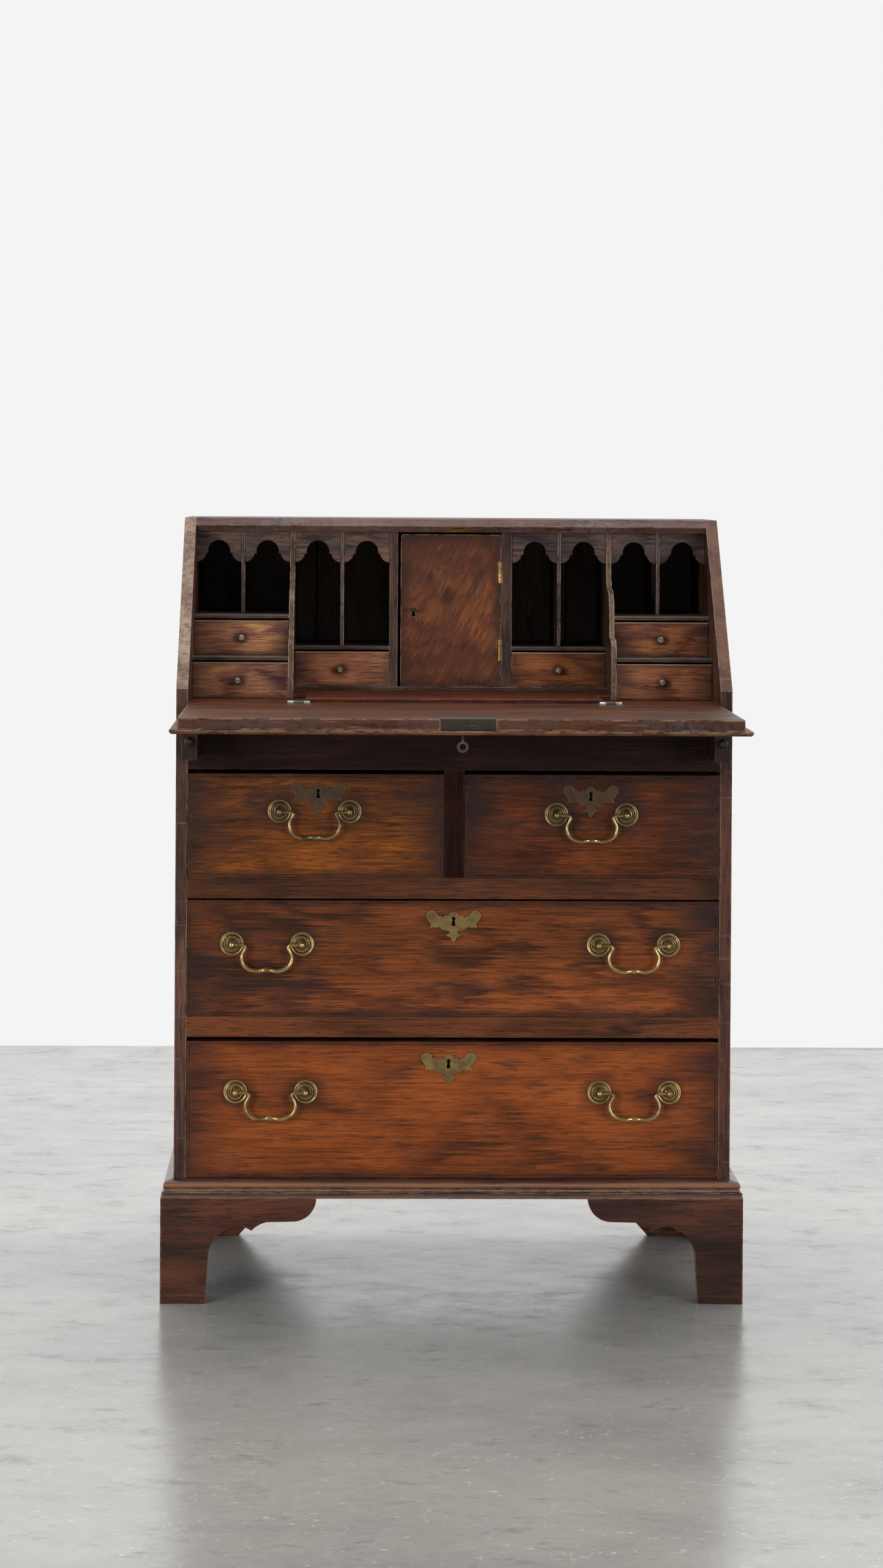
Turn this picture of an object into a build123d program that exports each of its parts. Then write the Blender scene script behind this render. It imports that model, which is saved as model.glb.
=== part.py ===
from build123d import *
from math import asin, atan2, cos, hypot, radians, sin, sqrt, tan
import os

os.makedirs("parts", exist_ok=True)

# Carcass, in millimetres. The front of the carcass faces -Y.
carcass_width = 711.0
carcass_depth = 446.0
carcass_height = 999.0
side_thickness = 15.2
top_thickness = 18.0
bottom_thickness = 18.0
back_thickness = 9.0
back_rebate = 6.0
back_lap = 8.0
back_board_count = 4
housing_depth = 5.0
rail_depth = 60.0
dust_thickness = 6.0
stop_size = 24.0
stop_height = 5.0
stop_thickness = 8.0

# Heights from the bottom up; the openings are shares of the height above the feet
foot_height = 134.0
carcass_floor = 23.7
low_opening_share = 0.20821
low_rail = 26.2
mid_opening_share = 0.17457
mid_rail = 26.7
top_opening_share = 0.15931
frieze_height = 65.5
frieze_thickness = 20.0
muntin_width = 25.6

# Slope, writing board and fall
slope_setback = 231.0
writing_thickness = 19.0
fall_thickness = 19.0
lip_thickness = 5.2
lip_overhang = 9.7
lip_round = 4.2
top_bevel = 14.7
fall_end_gap = 0.5
fall_side_gap = 0.4
lip_seat_gap = 0.3
joint_gap = 0.3

# Well under the writing board, and the flat cover that slides over it
well_half_width = 175.0
well_front = 58.0
well_back = 214.0
well_wall = 9.0
slide_half_width = 190.5
slide_front = 33.0
slide_length = 217.0
slide_gap = 0.2
slide_round = 2.0
guide_thickness = 5.4

# Lopers
loper_width = 20.0
loper_height = 47.7
loper_length = 330.0
loper_out = 85.0
loper_side_gap = 0.3
loper_groove = 5.0
loper_guide_width = 20.0
loper_knob_radius = 6.0
loper_knob_length = 13.0
loper_neck_radius = 3.5

# Stepped interior: tiers measured back from the carcass front, heights as shares of its height
low_tier = 120.0
high_tier = 171.0
back_tier = 238.0
partition_thickness = 6.8
partition_place = 211.6
divider_thickness = 4.6
ogee_rise_share = 0.2809
shelf_thickness = 5.7
shelf_round = 2.2
floor_thickness = 4.6
small_opening_share = 0.20936
small_upper_opening_share = 0.2017
small_inner_opening_share = 0.20766
valance_thickness = 7.0
valance_setback = 1.5
valance_rail_share = 0.0515
valance_drop_share = 0.1745
valance_lobe = 12.6
valance_lobe_drop_share = 0.0485
valance_step = 2.8
stile_edge = 82.0
lock_stile = 11.3
hinge_stile = 14.3
stile_depth = 22.0
door_thickness = 14.0
door_lock_gap = 3.8
door_hinge_gap = 0.5
door_foot_gap = 0.5
door_head_gap = 3.0
door_corner_round = 4.0

# Small drawers
small_front = 9.0
small_side = 5.0
small_bottom = 3.5
small_slack = 2.3
small_side_gap = 0.5
small_run = 0.3
small_back_gap = 6.0
small_knob_radius = 5.2
small_knob_length = 12.5
small_neck_radius = 2.4
small_knob_dip = 1.2
lower_knob_shift = -3.5
upper_right_knob_shift = -1.6
inner_left_knob_shift = -3.1

# Large drawers
front_thickness = 20.0
drawer_side = 9.5
drawer_bottom = 7.0
bottom_rise = 8.0
bottom_groove = 3.5
drawer_run = 0.3
drawer_side_gap = 0.6
drawer_back_gap = 14.0
side_drop = 4.0
low_slack = 5.5
mid_slack = 2.4
top_slack = 5.3
bead_inset = 3.0
bead_width = 1.3
bead_depth = 0.9
dovetail_lap = 14.0
small_lap = 5.5
dovetail_slope = 9.0

# Brass handles and keyhole plates
handle_span = 89.8
bail_drop = 33.4
bail_radius = 2.9
bail_sides = 12
handle_standoff = 11.5
rose_radius = 15.2
rose_height = 4.4
ball_radius = 4.6
post_radius = 2.6
post_gap = 0.1
pin_radius = 1.6
pin_gap = 0.08
nut_radius = 6.0
nut_height = 3.0
plate_width = 70.8
plate_fall = 31.1
plate_thickness = 1.3
keyhole_radius = 2.6
keyhole_drop = 9.2
keyhole_foot = 5.4
lock_width = 62.0
lock_height = 34.0
lock_depth = 9.0
top_left_handle_height_share = 0.6157
top_right_handle_height_share = 0.594
mid_handle_place = 234.3
mid_handle_height_share = 0.6152
low_handle_place = 232.5
low_handle_height_share = 0.6124
top_left_plate_rise = 26.3
top_right_plate_rise = 26.9
mid_plate_rise = 33.0
low_plate_rise = 39.7

# How far the hand-fitted brasses stand off their even places
top_left_plate_shift = 2.7
top_right_plate_shift = -1.9
low_plate_shift = -5.3
top_left_handle_shift = -1.7
top_right_handle_shift = -0.9
mid_handle_shift = -3.8

# Hinges, fall lock, door lock and keys
knuckle_radius = 3.8
knuckle_gap = 0.3
hinge_pin_radius = 1.3
hinge_pin_gap = 0.05
hinge_length = 28.5
hinge_place = 199.5
leaf_length = 24.0
leaf_thickness = 1.8
knuckle_end_share = 0.27
butt_radius = 2.2
butt_leaf = 9.0
butt_length = 28.0
butt_pin_radius = 0.9
butt_top_inset = 26.0
butt_foot_inset = 35.0
fall_lock_width = 67.0
fall_lock_place = 8.0
fall_lock_reach = 42.0
fall_lock_plate = 1.6
fall_key_place = 2.0
fall_key_inset = 26.0
key_stem_radius = 1.7
key_stem_gap = 0.5
fall_bow_radius = 7.2
fall_bow_hole = 3.8
fall_bow_drop = 16.0
fall_bow_thickness = 2.4
door_bow_radius = 5.5
door_bow_hole = 3.2
door_bow_drop = 12.0
door_bow_thickness = 1.4
door_key_lean = 25.0
key_bit_reach = 5.0
key_bit_height = 5.5
key_sides = 16
strike_width = 27.0
strike_height = 8.0
strike_thickness = 1.2
bolt_width = 15.0
bolt_height = 4.0
bolt_gap = 0.15
door_bolt_thickness = 3.0
door_lock_depth = 9.0
door_lock_width = 28.0
door_lock_height = 30.0
door_key_inset = 17.5
door_key_rise_share = 0.4383

# Base moulding and bracket feet
moulding_height = 23.4
moulding_band = 7.6
moulding_band_reach = 14.8
moulding_quirk = 9.2
moulding_quirk_reach = 11.6
moulding_bead_foot = 12.4
moulding_bead_middle = 16.6
moulding_bead_reach = 12.6
moulding_bead_top = 21.4
moulding_bead_end = 7.0
foot_projection = 16.0
bracket_thickness = 18.0
foot_width = 198.4
rear_foot_tip = 86.5
rear_bracket_thickness = 16.0
rear_bracket_angle = 48.0
block_size = 34.0
block_rise = 12.0
overrun = 5.0

# Bracket outline: shares of the foot's width and height, from the ankle up and inwards
ankle_share = (0.287, 0.0)
shin_share = (0.31, 0.49)
hollow_shares = ((0.363, 0.642), (0.484, 0.74))
cusp_shares = ((0.539, 0.727), (0.584, 0.694))
rise_shares = ((0.617, 0.736), (0.683, 0.776))
bridge_share = (0.864, 0.782)
tip_shares = ((0.96, 0.854), (1.0, 1.0))

# Half outline of a keyhole plate, from its top down, as shares of half its width and of its fall
plate_crown_share = (0.0, 0.29)
plate_crown_mid_share = (0.125, 0.24)
plate_neck_share = (0.175, 0.125)
plate_ear_shares = ((0.33, 0.125), (0.387, 0.035), (0.452, 0.1), (0.588, 0.125))
plate_lobe_shares = ((0.797, 0.347), (0.994, 0.11))
plate_wing_shares = ((0.96, 0.0), (0.879, -0.129), (0.802, -0.228))
plate_foot_shares = (
    (0.856, -0.395), (0.743, -0.347), (0.661, -0.386), (0.531, -0.341), (0.418, -0.441),
    (0.257, -0.495), (0.169, -0.505), (0.13, -0.569), (0.153, -0.605), (0.299, -0.678),
    (0.178, -0.752), (0.113, -0.752), (0.096, -0.846),
)

# Half profile of a rose, from its rim to the foot of the ball: shares of its radius and of its height
rose_shares = (
    (1.0, 0.0), (1.0, 0.22), (0.95, 0.36), (0.88, 0.3), (0.82, 0.16), (0.74, 0.24), (0.68, 0.56),
    (0.61, 0.72), (0.53, 0.62), (0.46, 0.4), (0.36, 0.48), (0.28, 0.78),
)

# Half line of a bail, from the pivot in: shares of half the span and of the drop, then of its radius
bail_shares = (
    (0.985, 0.0, 0.55), (0.9, 0.0, 0.55), (0.89, 0.0, 0.77), (0.67, 0.005, 0.83), (0.608, 0.09, 0.85),
    (0.655, 0.24, 0.78), (0.713, 0.42, 0.8), (0.7, 0.6, 0.89), (0.62, 0.8, 0.96), (0.5, 0.94, 1.0),
    (0.36, 1.0, 1.0), (0.19, 0.995, 1.0), (0.165, 0.985, 0.85), (0.14, 0.975, 1.2), (0.0, 0.955, 1.37),
)

# Places that follow from the sizes above
half_width = carcass_width / 2
inner_half = half_width - side_thickness
body_height = carcass_height - foot_height
low_opening = body_height * low_opening_share
mid_opening = body_height * mid_opening_share
top_opening = body_height * top_opening_share
base_top = foot_height + carcass_floor
low_rail_top = base_top + low_opening + low_rail
mid_rail_top = low_rail_top + mid_opening + mid_rail
frieze_bottom = mid_rail_top + top_opening
writing_bottom = frieze_bottom + frieze_height
writing_top = writing_bottom + writing_thickness
top_underside = carcass_height - top_thickness
interior_height = carcass_height - writing_top
small_opening = interior_height * small_opening_share
small_upper_opening = interior_height * small_upper_opening_share
small_inner_opening = interior_height * small_inner_opening_share
ogee_rise = interior_height * ogee_rise_share
valance_rail = interior_height * valance_rail_share
valance_drop = interior_height * valance_drop_share
valance_lobe_drop = interior_height * valance_lobe_drop_share
door_key_rise = interior_height * door_key_rise_share
top_left_handle_height = top_opening * top_left_handle_height_share
top_right_handle_height = top_opening * top_right_handle_height_share
mid_handle_height = mid_opening * mid_handle_height_share
low_handle_height = low_opening * low_handle_height_share
top_handle_place = (inner_half + muntin_width / 2) / 2
panel_step = fall_thickness - lip_thickness
seat_depth = panel_step - lip_seat_gap
corner_reach = hypot(slope_setback, interior_height)
slope = atan2(interior_height, slope_setback) - asin(seat_depth / corner_reach)
slope_length = sqrt(corner_reach**2 - seat_depth**2)
nose_top = writing_top + seat_depth / cos(slope)
fall_length = slope_length - top_bevel - fall_end_gap
fall_reach = fall_length + lip_overhang
front = (fall_reach - carcass_depth) / 2
back = front + carcass_depth
back_face = back - back_thickness
fall_tip = front - fall_length
fall_under = writing_top - fall_thickness
low_shelf = writing_top + small_opening
high_shelf = low_shelf + shelf_thickness + small_upper_opening
pigeon_floor = high_shelf + shelf_thickness
inner_floor = writing_top + guide_thickness
inner_base = inner_floor + floor_thickness
inner_shelf = inner_base + small_inner_opening
inner_pigeon_floor = inner_shelf + shelf_thickness
partition_inner = partition_place - partition_thickness / 2
partition_outer = partition_place + partition_thickness / 2
outer_divider = (inner_half + partition_outer) / 2
inner_divider = (partition_inner + stile_edge) / 2
loper_outer = inner_half + loper_groove - loper_side_gap
loper_inner = loper_outer - loper_width
loper_top = fall_under - joint_gap
loper_bottom = loper_top - loper_height
slope_dir = Vector(0, cos(slope), sin(slope))
slope_in = Vector(0, sin(slope), -cos(slope))
top_edge = Vector(0, front + slope_setback, carcass_height)


def keep(shape, label):
    """Labels a finished piece and writes its STEP file."""
    shape.label = label
    export_step(shape, f"parts/{label}.step")


def group(parts):
    """Several separate solids that share one node."""
    return Compound(children=[item.part for item in parts])


def slab(low, high, mode=Mode.ADD):
    """A square-edged board between two opposite corners."""
    sizes = [abs(b - a) for a, b in zip(low, high)]
    middle = [(a + b) / 2 for a, b in zip(low, high)]
    with Locations(tuple(middle)):
        Box(*sizes, mode=mode)


def board(low, high):
    """A plain board as a piece of its own."""
    with BuildPart() as plain:
        slab(low, high)
    return plain


def mirrored(piece):
    """The same piece on the other side of the middle."""
    with BuildPart() as twin:
        add(piece.part)
        mirror(about=Plane.YZ, mode=Mode.REPLACE)
    return twin


def facing(y):
    """A plane that looks forwards, X to the right and Z up, at a depth y."""
    return Plane.XZ.offset(-y)


def ogee(start, end):
    """Two equal arcs that leave the start and reach the end upright."""
    dy, dz = end[0] - start[0], end[1] - start[1]
    radius = (dy**2 + dz**2) / (4 * dy)
    half = atan2(dy, dz)
    middle = ((start[0] + end[0]) / 2, (start[1] + end[1]) / 2)
    lower = (start[0] + radius * (1 - cos(half)), start[1] + radius * sin(half))
    upper = (end[0] - radius * (1 - cos(half)), end[1] - radius * sin(half))
    ThreePointArc(start, lower, middle)
    ThreePointArc(middle, upper, end)


# Side boards: sloping front edge, rebate for the back, housings and a groove for the loper
tail_count = 6
tail_pitch = (carcass_depth - slope_setback - back_thickness) / tail_count
tail_half = tail_pitch / 4
tail_reach = side_thickness * 2 / 3


def top_tails(x_root, x_end):
    """The row of dovetails that joins the top board to a side, seen from above."""
    spread = abs(x_end - x_root) * tan(radians(dovetail_slope))
    with BuildSketch(Plane.XY.offset(top_underside)) as tails:
        for index in range(tail_count):
            y = back_face - tail_pitch * (index + 1 / 2)
            with BuildLine():
                Polyline(
                    (x_root, y - tail_half), (x_end, y - tail_half - spread),
                    (x_end, y + tail_half + spread), (x_root, y + tail_half), close=True,
                )
            make_face()
    return tails.sketch


with BuildPart() as side_right:
    with BuildSketch(Plane.YZ.offset(inner_half)):
        with BuildLine():
            Polyline(
                (front, foot_height), (front, nose_top), (front + slope_setback, carcass_height),
                (back, carcass_height), (back, foot_height), close=True,
            )
        make_face()
    extrude(amount=side_thickness)
    slab(
        (inner_half - overrun, back_face, foot_height - overrun),
        (inner_half + back_rebate, back + overrun, carcass_height + overrun), mode=Mode.SUBTRACT,
    )
    for top, thickness in (
        (base_top, bottom_thickness), (low_rail_top, dust_thickness), (mid_rail_top, dust_thickness),
        (frieze_bottom + dust_thickness, dust_thickness), (writing_top, writing_thickness),
    ):
        slab(
            (inner_half - overrun, front + frieze_thickness, top - thickness),
            (inner_half + housing_depth, back_face, top), mode=Mode.SUBTRACT,
        )
    slab(
        (inner_half - overrun, front - overrun, loper_bottom - loper_side_gap),
        (inner_half + loper_groove, front + loper_length, writing_bottom), mode=Mode.SUBTRACT,
    )
    extrude(top_tails(inner_half, inner_half + tail_reach), amount=top_thickness, mode=Mode.SUBTRACT)
side_left = mirrored(side_right)
keep(side_left.part, "side_left")
keep(side_right.part, "side_right")

# Top board: bevelled to the slope, with a square shoulder where the fall's end comes to rest
bevel_foot = top_edge - slope_dir * top_bevel
shoulder_run = (bevel_foot.Z - top_underside) / cos(slope)
shoulder_foot = bevel_foot + slope_in * shoulder_run
strike_centre = bevel_foot + slope_in * (shoulder_run / 2)
strike_plane = Plane(
    origin=(fall_lock_place + fall_lock_plate, strike_centre.Y, strike_centre.Z),
    x_dir=(1, 0, 0), z_dir=slope_dir,
)
with BuildPart() as strike_plate:
    with BuildSketch(strike_plane):
        Rectangle(strike_width, strike_height)
        Rectangle(bolt_width, bolt_height, mode=Mode.SUBTRACT)
    extrude(amount=strike_thickness)
with BuildPart() as top_board:
    with BuildSketch(Plane.YZ.offset(-inner_half)):
        with BuildLine():
            Polyline(
                (top_edge.Y, top_edge.Z), (bevel_foot.Y, bevel_foot.Z),
                (shoulder_foot.Y, top_underside), (back_face, top_underside),
                (back_face, carcass_height), close=True,
            )
        make_face()
    extrude(amount=2 * inner_half)
    for side in (-1, 1):
        tails = top_tails(side * inner_half, side * (inner_half + tail_reach))
        extrude(tails, amount=top_thickness)
    with BuildSketch(strike_plane):
        Rectangle(strike_width, strike_height)
    extrude(amount=strike_thickness, mode=Mode.SUBTRACT)
    with BuildSketch(strike_plane):
        Rectangle(bolt_width, bolt_height)
    extrude(amount=strike_thickness + bolt_width / 2, mode=Mode.SUBTRACT)
keep(top_board.part, "top_board")
keep(strike_plate.part, "fall_strike_plate")

# Bottom board, dust boards and rails
bottom_board = board(
    (-inner_half - housing_depth, front + frieze_thickness, base_top - bottom_thickness),
    (inner_half + housing_depth, back_face, base_top),
)
bottom_lipping = board(
    (-inner_half, front, base_top - bottom_thickness), (inner_half, front + frieze_thickness, base_top)
)
keep(group([bottom_board, bottom_lipping]), "bottom_boards")


def dust_board(top):
    """A thin board housed in the sides, behind the rail at the same level."""
    return board(
        (-inner_half - housing_depth, front + frieze_thickness, top - dust_thickness),
        (inner_half + housing_depth, back_face, top),
    )


dust_tops = (low_rail_top, mid_rail_top, frieze_bottom + dust_thickness)
keep(group([dust_board(top) for top in dust_tops]), "dust_boards")
rails = []
for top, height in ((low_rail_top, low_rail), (mid_rail_top, mid_rail)):
    rails.append(board((-inner_half, front, top - height), (inner_half, front + frieze_thickness, top)))
    rails.append(
        board(
            (-inner_half, front + frieze_thickness, top - height),
            (inner_half, front + rail_depth, top - dust_thickness),
        )
    )
keep(group(rails), "drawer_rails")

# Divider between the two short drawers, and the guide that runs back from it
muntin = board(
    (-muntin_width / 2, front, mid_rail_top), (muntin_width / 2, front + frieze_thickness, frieze_bottom)
)
divider_guide = board(
    (-muntin_width / 2, front + frieze_thickness, mid_rail_top),
    (muntin_width / 2, back_face, frieze_bottom),
)
keep(group([muntin, divider_guide]), "drawer_divider")

# Frieze board under the writing board, notched at its ends for the lopers
with BuildPart() as frieze:
    slab((-inner_half, front, frieze_bottom), (inner_half, front + frieze_thickness, writing_bottom))
    for side in (-1, 1):
        slab(
            (side * (loper_inner - loper_side_gap), front - overrun, loper_bottom - loper_side_gap),
            (side * (inner_half + overrun), front + frieze_thickness + overrun, writing_bottom + overrun),
            mode=Mode.SUBTRACT,
        )
keep(frieze.part, "frieze_board")

# Runner and inner guide of each loper, and the cross board that closes the well
guide_outer = loper_inner - loper_side_gap
guide_inner = guide_outer - loper_guide_width
guide_floor = frieze_bottom + dust_thickness
runner = board(
    (guide_inner, front + frieze_thickness, guide_floor),
    (inner_half, back_face, loper_bottom - loper_side_gap),
)
guide = board(
    (guide_inner, front + frieze_thickness, loper_bottom - loper_side_gap),
    (guide_outer, back_face, writing_bottom),
)
keep(group([runner, guide, mirrored(runner), mirrored(guide)]), "loper_guides")
well_wall_board = board(
    (-guide_inner, front + well_back, guide_floor),
    (guide_inner, front + well_back + well_wall, writing_bottom),
)

# Back boards, half-lapped, in the rebates of the sides
back_span = 2 * (inner_half + back_rebate)
back_pitch = back_span / back_board_count
back_boards = []
for index in range(back_board_count):
    left = -back_span / 2 + index * back_pitch
    with BuildPart() as back_board:
        slab((left, back_face, foot_height), (left + back_pitch, back, carcass_height))
        if index > 0:
            slab(
                (left - back_lap, back_face + back_thickness / 2, foot_height),
                (left, back, carcass_height),
            )
        if index < back_board_count - 1:
            slab(
                (left + back_pitch - back_lap, back_face + back_thickness / 2, foot_height - overrun),
                (left + back_pitch + overrun, back + overrun, carcass_height + overrun),
                mode=Mode.SUBTRACT,
            )
    back_boards.append(back_board)
keep(group(back_boards), "back_boards")

# Stops for the large drawers, glued to the boards that they run on
stops = []
for x in (inner_half / 2, -inner_half / 2):
    for level in (base_top, low_rail_top, mid_rail_top):
        y = front + front_thickness + drawer_run
        stops.append(
            board((x - stop_size / 2, y, level), (x + stop_size / 2, y + stop_thickness, level + stop_height))
        )
keep(group(stops), "drawer_stops")

# Writing board, with the opening of the well and seats for the fixed hinge leaves
knuckle_end = hinge_length * knuckle_end_share
hinge_axis = Plane(origin=(0, front, writing_top), x_dir=(0, 1, 0), z_dir=(1, 0, 0))


def knuckle_room(x):
    """The round seat that both boards need over the length of a hinge."""
    with Locations((x, front, writing_top)):
        Cylinder(
            knuckle_radius + knuckle_gap, hinge_length + 2 * knuckle_gap, rotation=(0, 90, 0),
            mode=Mode.SUBTRACT,
        )


def leaf_room(x, side):
    """The shallow seat of a hinge leaf, behind the joint or before it."""
    reach = side * (knuckle_radius + leaf_length)
    slab(
        (x - hinge_length / 2, front, writing_top - leaf_thickness),
        (x + hinge_length / 2, front + reach, writing_top + overrun), mode=Mode.SUBTRACT,
    )


with BuildPart() as writing_board:
    slab(
        (-inner_half, front + joint_gap, writing_bottom), (inner_half, back_face, writing_top)
    )
    slab(
        (-inner_half - housing_depth, front + frieze_thickness, writing_bottom),
        (inner_half + housing_depth, back_face, writing_top),
    )
    slab(
        (-well_half_width, front + well_front, writing_bottom - overrun),
        (well_half_width, front + well_back, writing_top + overrun), mode=Mode.SUBTRACT,
    )
    for x in (-hinge_place, hinge_place):
        knuckle_room(x)
        leaf_room(x, 1)
keep(writing_board.part, "writing_board")

# Strips at the two ends of the sliding cover
guide_strip = board(
    (slide_half_width + loper_side_gap, front + low_tier, writing_top),
    (partition_inner, back_face, inner_floor),
)
keep(group([guide_strip, mirrored(guide_strip), well_wall_board]), "well_guides")

# Flat cover of the well
with BuildPart() as well_slide:
    slab(
        (-slide_half_width, front + slide_front, writing_top + slide_gap / 2),
        (slide_half_width, front + slide_front + slide_length, inner_floor - slide_gap),
    )
    nosing = well_slide.edges().filter_by(Axis.X).group_by(Axis.Y)[0]
    fillet(nosing.sort_by(Axis.Z)[-1], slide_round)
keep(well_slide.part, "well_slide")

# Fall: rebated panel with a rounded lip on three sides, let in for the lock and the hinges
lock_inner = fall_tip + fall_lock_reach
key_y = fall_tip + fall_key_inset
lock_case_depth = panel_step * 7 / 8
lock_case_half = fall_lock_width / 3
case_floor = writing_top - lock_case_depth
case_inner = lock_inner - fall_lock_plate * 2
bit_room = key_stem_radius + key_bit_reach + key_stem_gap
bolt_place = fall_lock_place + fall_lock_plate
bolt_level = writing_top - seat_depth + shoulder_run / 2
bolt_length = fall_key_inset - bit_room
escutcheon_plane = Plane(origin=(fall_key_place, key_y, fall_under), x_dir=(1, 0, 0), z_dir=(0, 0, -1))


def keyhole_sketch(plane):
    """A round hole over a slot that widens downwards, to be cut through what lies behind it."""
    with BuildSketch(plane) as hole:
        Circle(keyhole_radius)
        with BuildLine():
            Polyline(
                (-keyhole_radius / 2, 0), (keyhole_radius / 2, 0),
                (keyhole_foot / 2, -keyhole_drop), (-keyhole_foot / 2, -keyhole_drop), close=True,
            )
        make_face()
    return hole.sketch


with BuildPart() as fall_board:
    slab(
        (-inner_half + fall_side_gap, fall_tip, fall_under + lip_thickness),
        (inner_half - fall_side_gap, front - joint_gap, writing_top),
    )
    slab(
        (-inner_half + fall_side_gap - lip_overhang, fall_tip - lip_overhang, fall_under),
        (inner_half - fall_side_gap + lip_overhang, front - joint_gap, fall_under + lip_thickness),
    )
    rim = fall_board.faces().sort_by(Axis.Z)[0].edges()
    fillet(rim.sort_by(Axis.Y)[:-1], lip_round)
    for x in (-hinge_place, hinge_place):
        knuckle_room(x)
        leaf_room(x, -1)
    for near, far, floor, half in (
        (fall_tip - overrun, fall_tip + fall_lock_plate, fall_under + lip_thickness, fall_lock_width / 2),
        (fall_tip - overrun, lock_inner, writing_top - fall_lock_plate, fall_lock_width / 2),
        (fall_tip - overrun, case_inner, case_floor, lock_case_half),
    ):
        slab(
            (fall_lock_place - half, near, floor),
            (fall_lock_place + half, far, writing_top + overrun), mode=Mode.SUBTRACT,
        )
    extrude(keyhole_sketch(escutcheon_plane), amount=-fall_thickness, mode=Mode.SUBTRACT)
keep(fall_board.part, "fall_board")

# Lock of the fall: edge plate, inner plate, and a case with room for the bolt and the key's bit
with BuildPart() as fall_lock:
    slab(
        (fall_lock_place - fall_lock_width / 2, fall_tip, fall_under + lip_thickness),
        (fall_lock_place + fall_lock_width / 2, fall_tip + fall_lock_plate, writing_top),
    )
    slab(
        (fall_lock_place - fall_lock_width / 2, fall_tip, writing_top - fall_lock_plate),
        (fall_lock_place + fall_lock_width / 2, lock_inner, writing_top),
    )
    slab(
        (fall_lock_place - lock_case_half, fall_tip, case_floor),
        (fall_lock_place + lock_case_half, case_inner, writing_top),
    )
    with Locations((fall_key_place, key_y, case_floor)):
        Cylinder(bit_room, 2 * (lock_case_depth - fall_lock_plate), mode=Mode.SUBTRACT)
    slab(
        (bolt_place - bolt_width / 2, fall_tip - overrun, bolt_level - bolt_height / 2),
        (bolt_place + bolt_width / 2, key_y, bolt_level + bolt_height / 2), mode=Mode.SUBTRACT,
    )


def plate_outline(mirror_side):
    """One side of a keyhole plate's outline, from the crown to the point."""
    wide, tall = mirror_side * plate_width / 2, plate_fall

    def at(share):
        return (share[0] * wide, share[1] * tall)

    ThreePointArc(at(plate_crown_share), at(plate_crown_mid_share), at(plate_neck_share))
    Polyline(at(plate_neck_share), *[at(share) for share in plate_ear_shares])
    ThreePointArc(at(plate_ear_shares[-1]), at(plate_lobe_shares[0]), at(plate_lobe_shares[1]))
    tail = [at(share) for share in (*plate_wing_shares, *plate_foot_shares)]
    Polyline(at(plate_lobe_shares[1]), *tail, (0, -tall))


def keyhole_plate(plane):
    """A cut brass plate, pierced by the keyhole."""
    with BuildPart() as plate:
        with BuildSketch(plane):
            with BuildLine():
                plate_outline(1)
                plate_outline(-1)
            make_face()
        extrude(amount=plate_thickness)
        extrude(keyhole_sketch(plane), amount=plate_thickness, mode=Mode.SUBTRACT)
    return plate


keep(group([fall_lock, keyhole_plate(escutcheon_plane)]), "fall_lock")
with BuildPart() as fall_bolt:
    slab(
        (bolt_place - bolt_width / 2 + bolt_gap, fall_tip, bolt_level - bolt_height / 2 + bolt_gap),
        (
            bolt_place + bolt_width / 2 - bolt_gap, fall_tip + bolt_length,
            bolt_level + bolt_height / 2 - bolt_gap,
        ),
    )
keep(fall_bolt.part, "fall_bolt")


def key(plane, depth, bow_drop, bow_radius, bow_hole, bow_thickness):
    """A key whose stem runs along the plane's normal, its bow in front and its bit behind."""
    with BuildPart() as made:
        with BuildSketch(plane.offset(-depth)):
            Circle(key_stem_radius)
        extrude(amount=depth + bow_drop - bow_hole)
        with BuildSketch(plane.offset(-depth)):
            with Locations(((key_bit_reach + key_stem_radius) / 2, 0)):
                Rectangle(key_bit_reach + key_stem_radius, key_stem_radius)
        extrude(amount=key_bit_height)
        bow = Plane(
            origin=plane.from_local_coords((0, 0, bow_drop)), x_dir=plane.x_dir, z_dir=plane.y_dir
        )
        with BuildSketch(bow.offset(-bow_thickness / 2)):
            RegularPolygon(bow_radius, key_sides)
            RegularPolygon(bow_hole, key_sides, mode=Mode.SUBTRACT)
        extrude(amount=bow_thickness)
    return made


fall_key = key(
    escutcheon_plane, case_floor + key_bit_height - fall_under,
    fall_bow_drop, fall_bow_radius, fall_bow_hole, fall_bow_thickness,
)
keep(fall_key.part, "fall_key")


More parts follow.
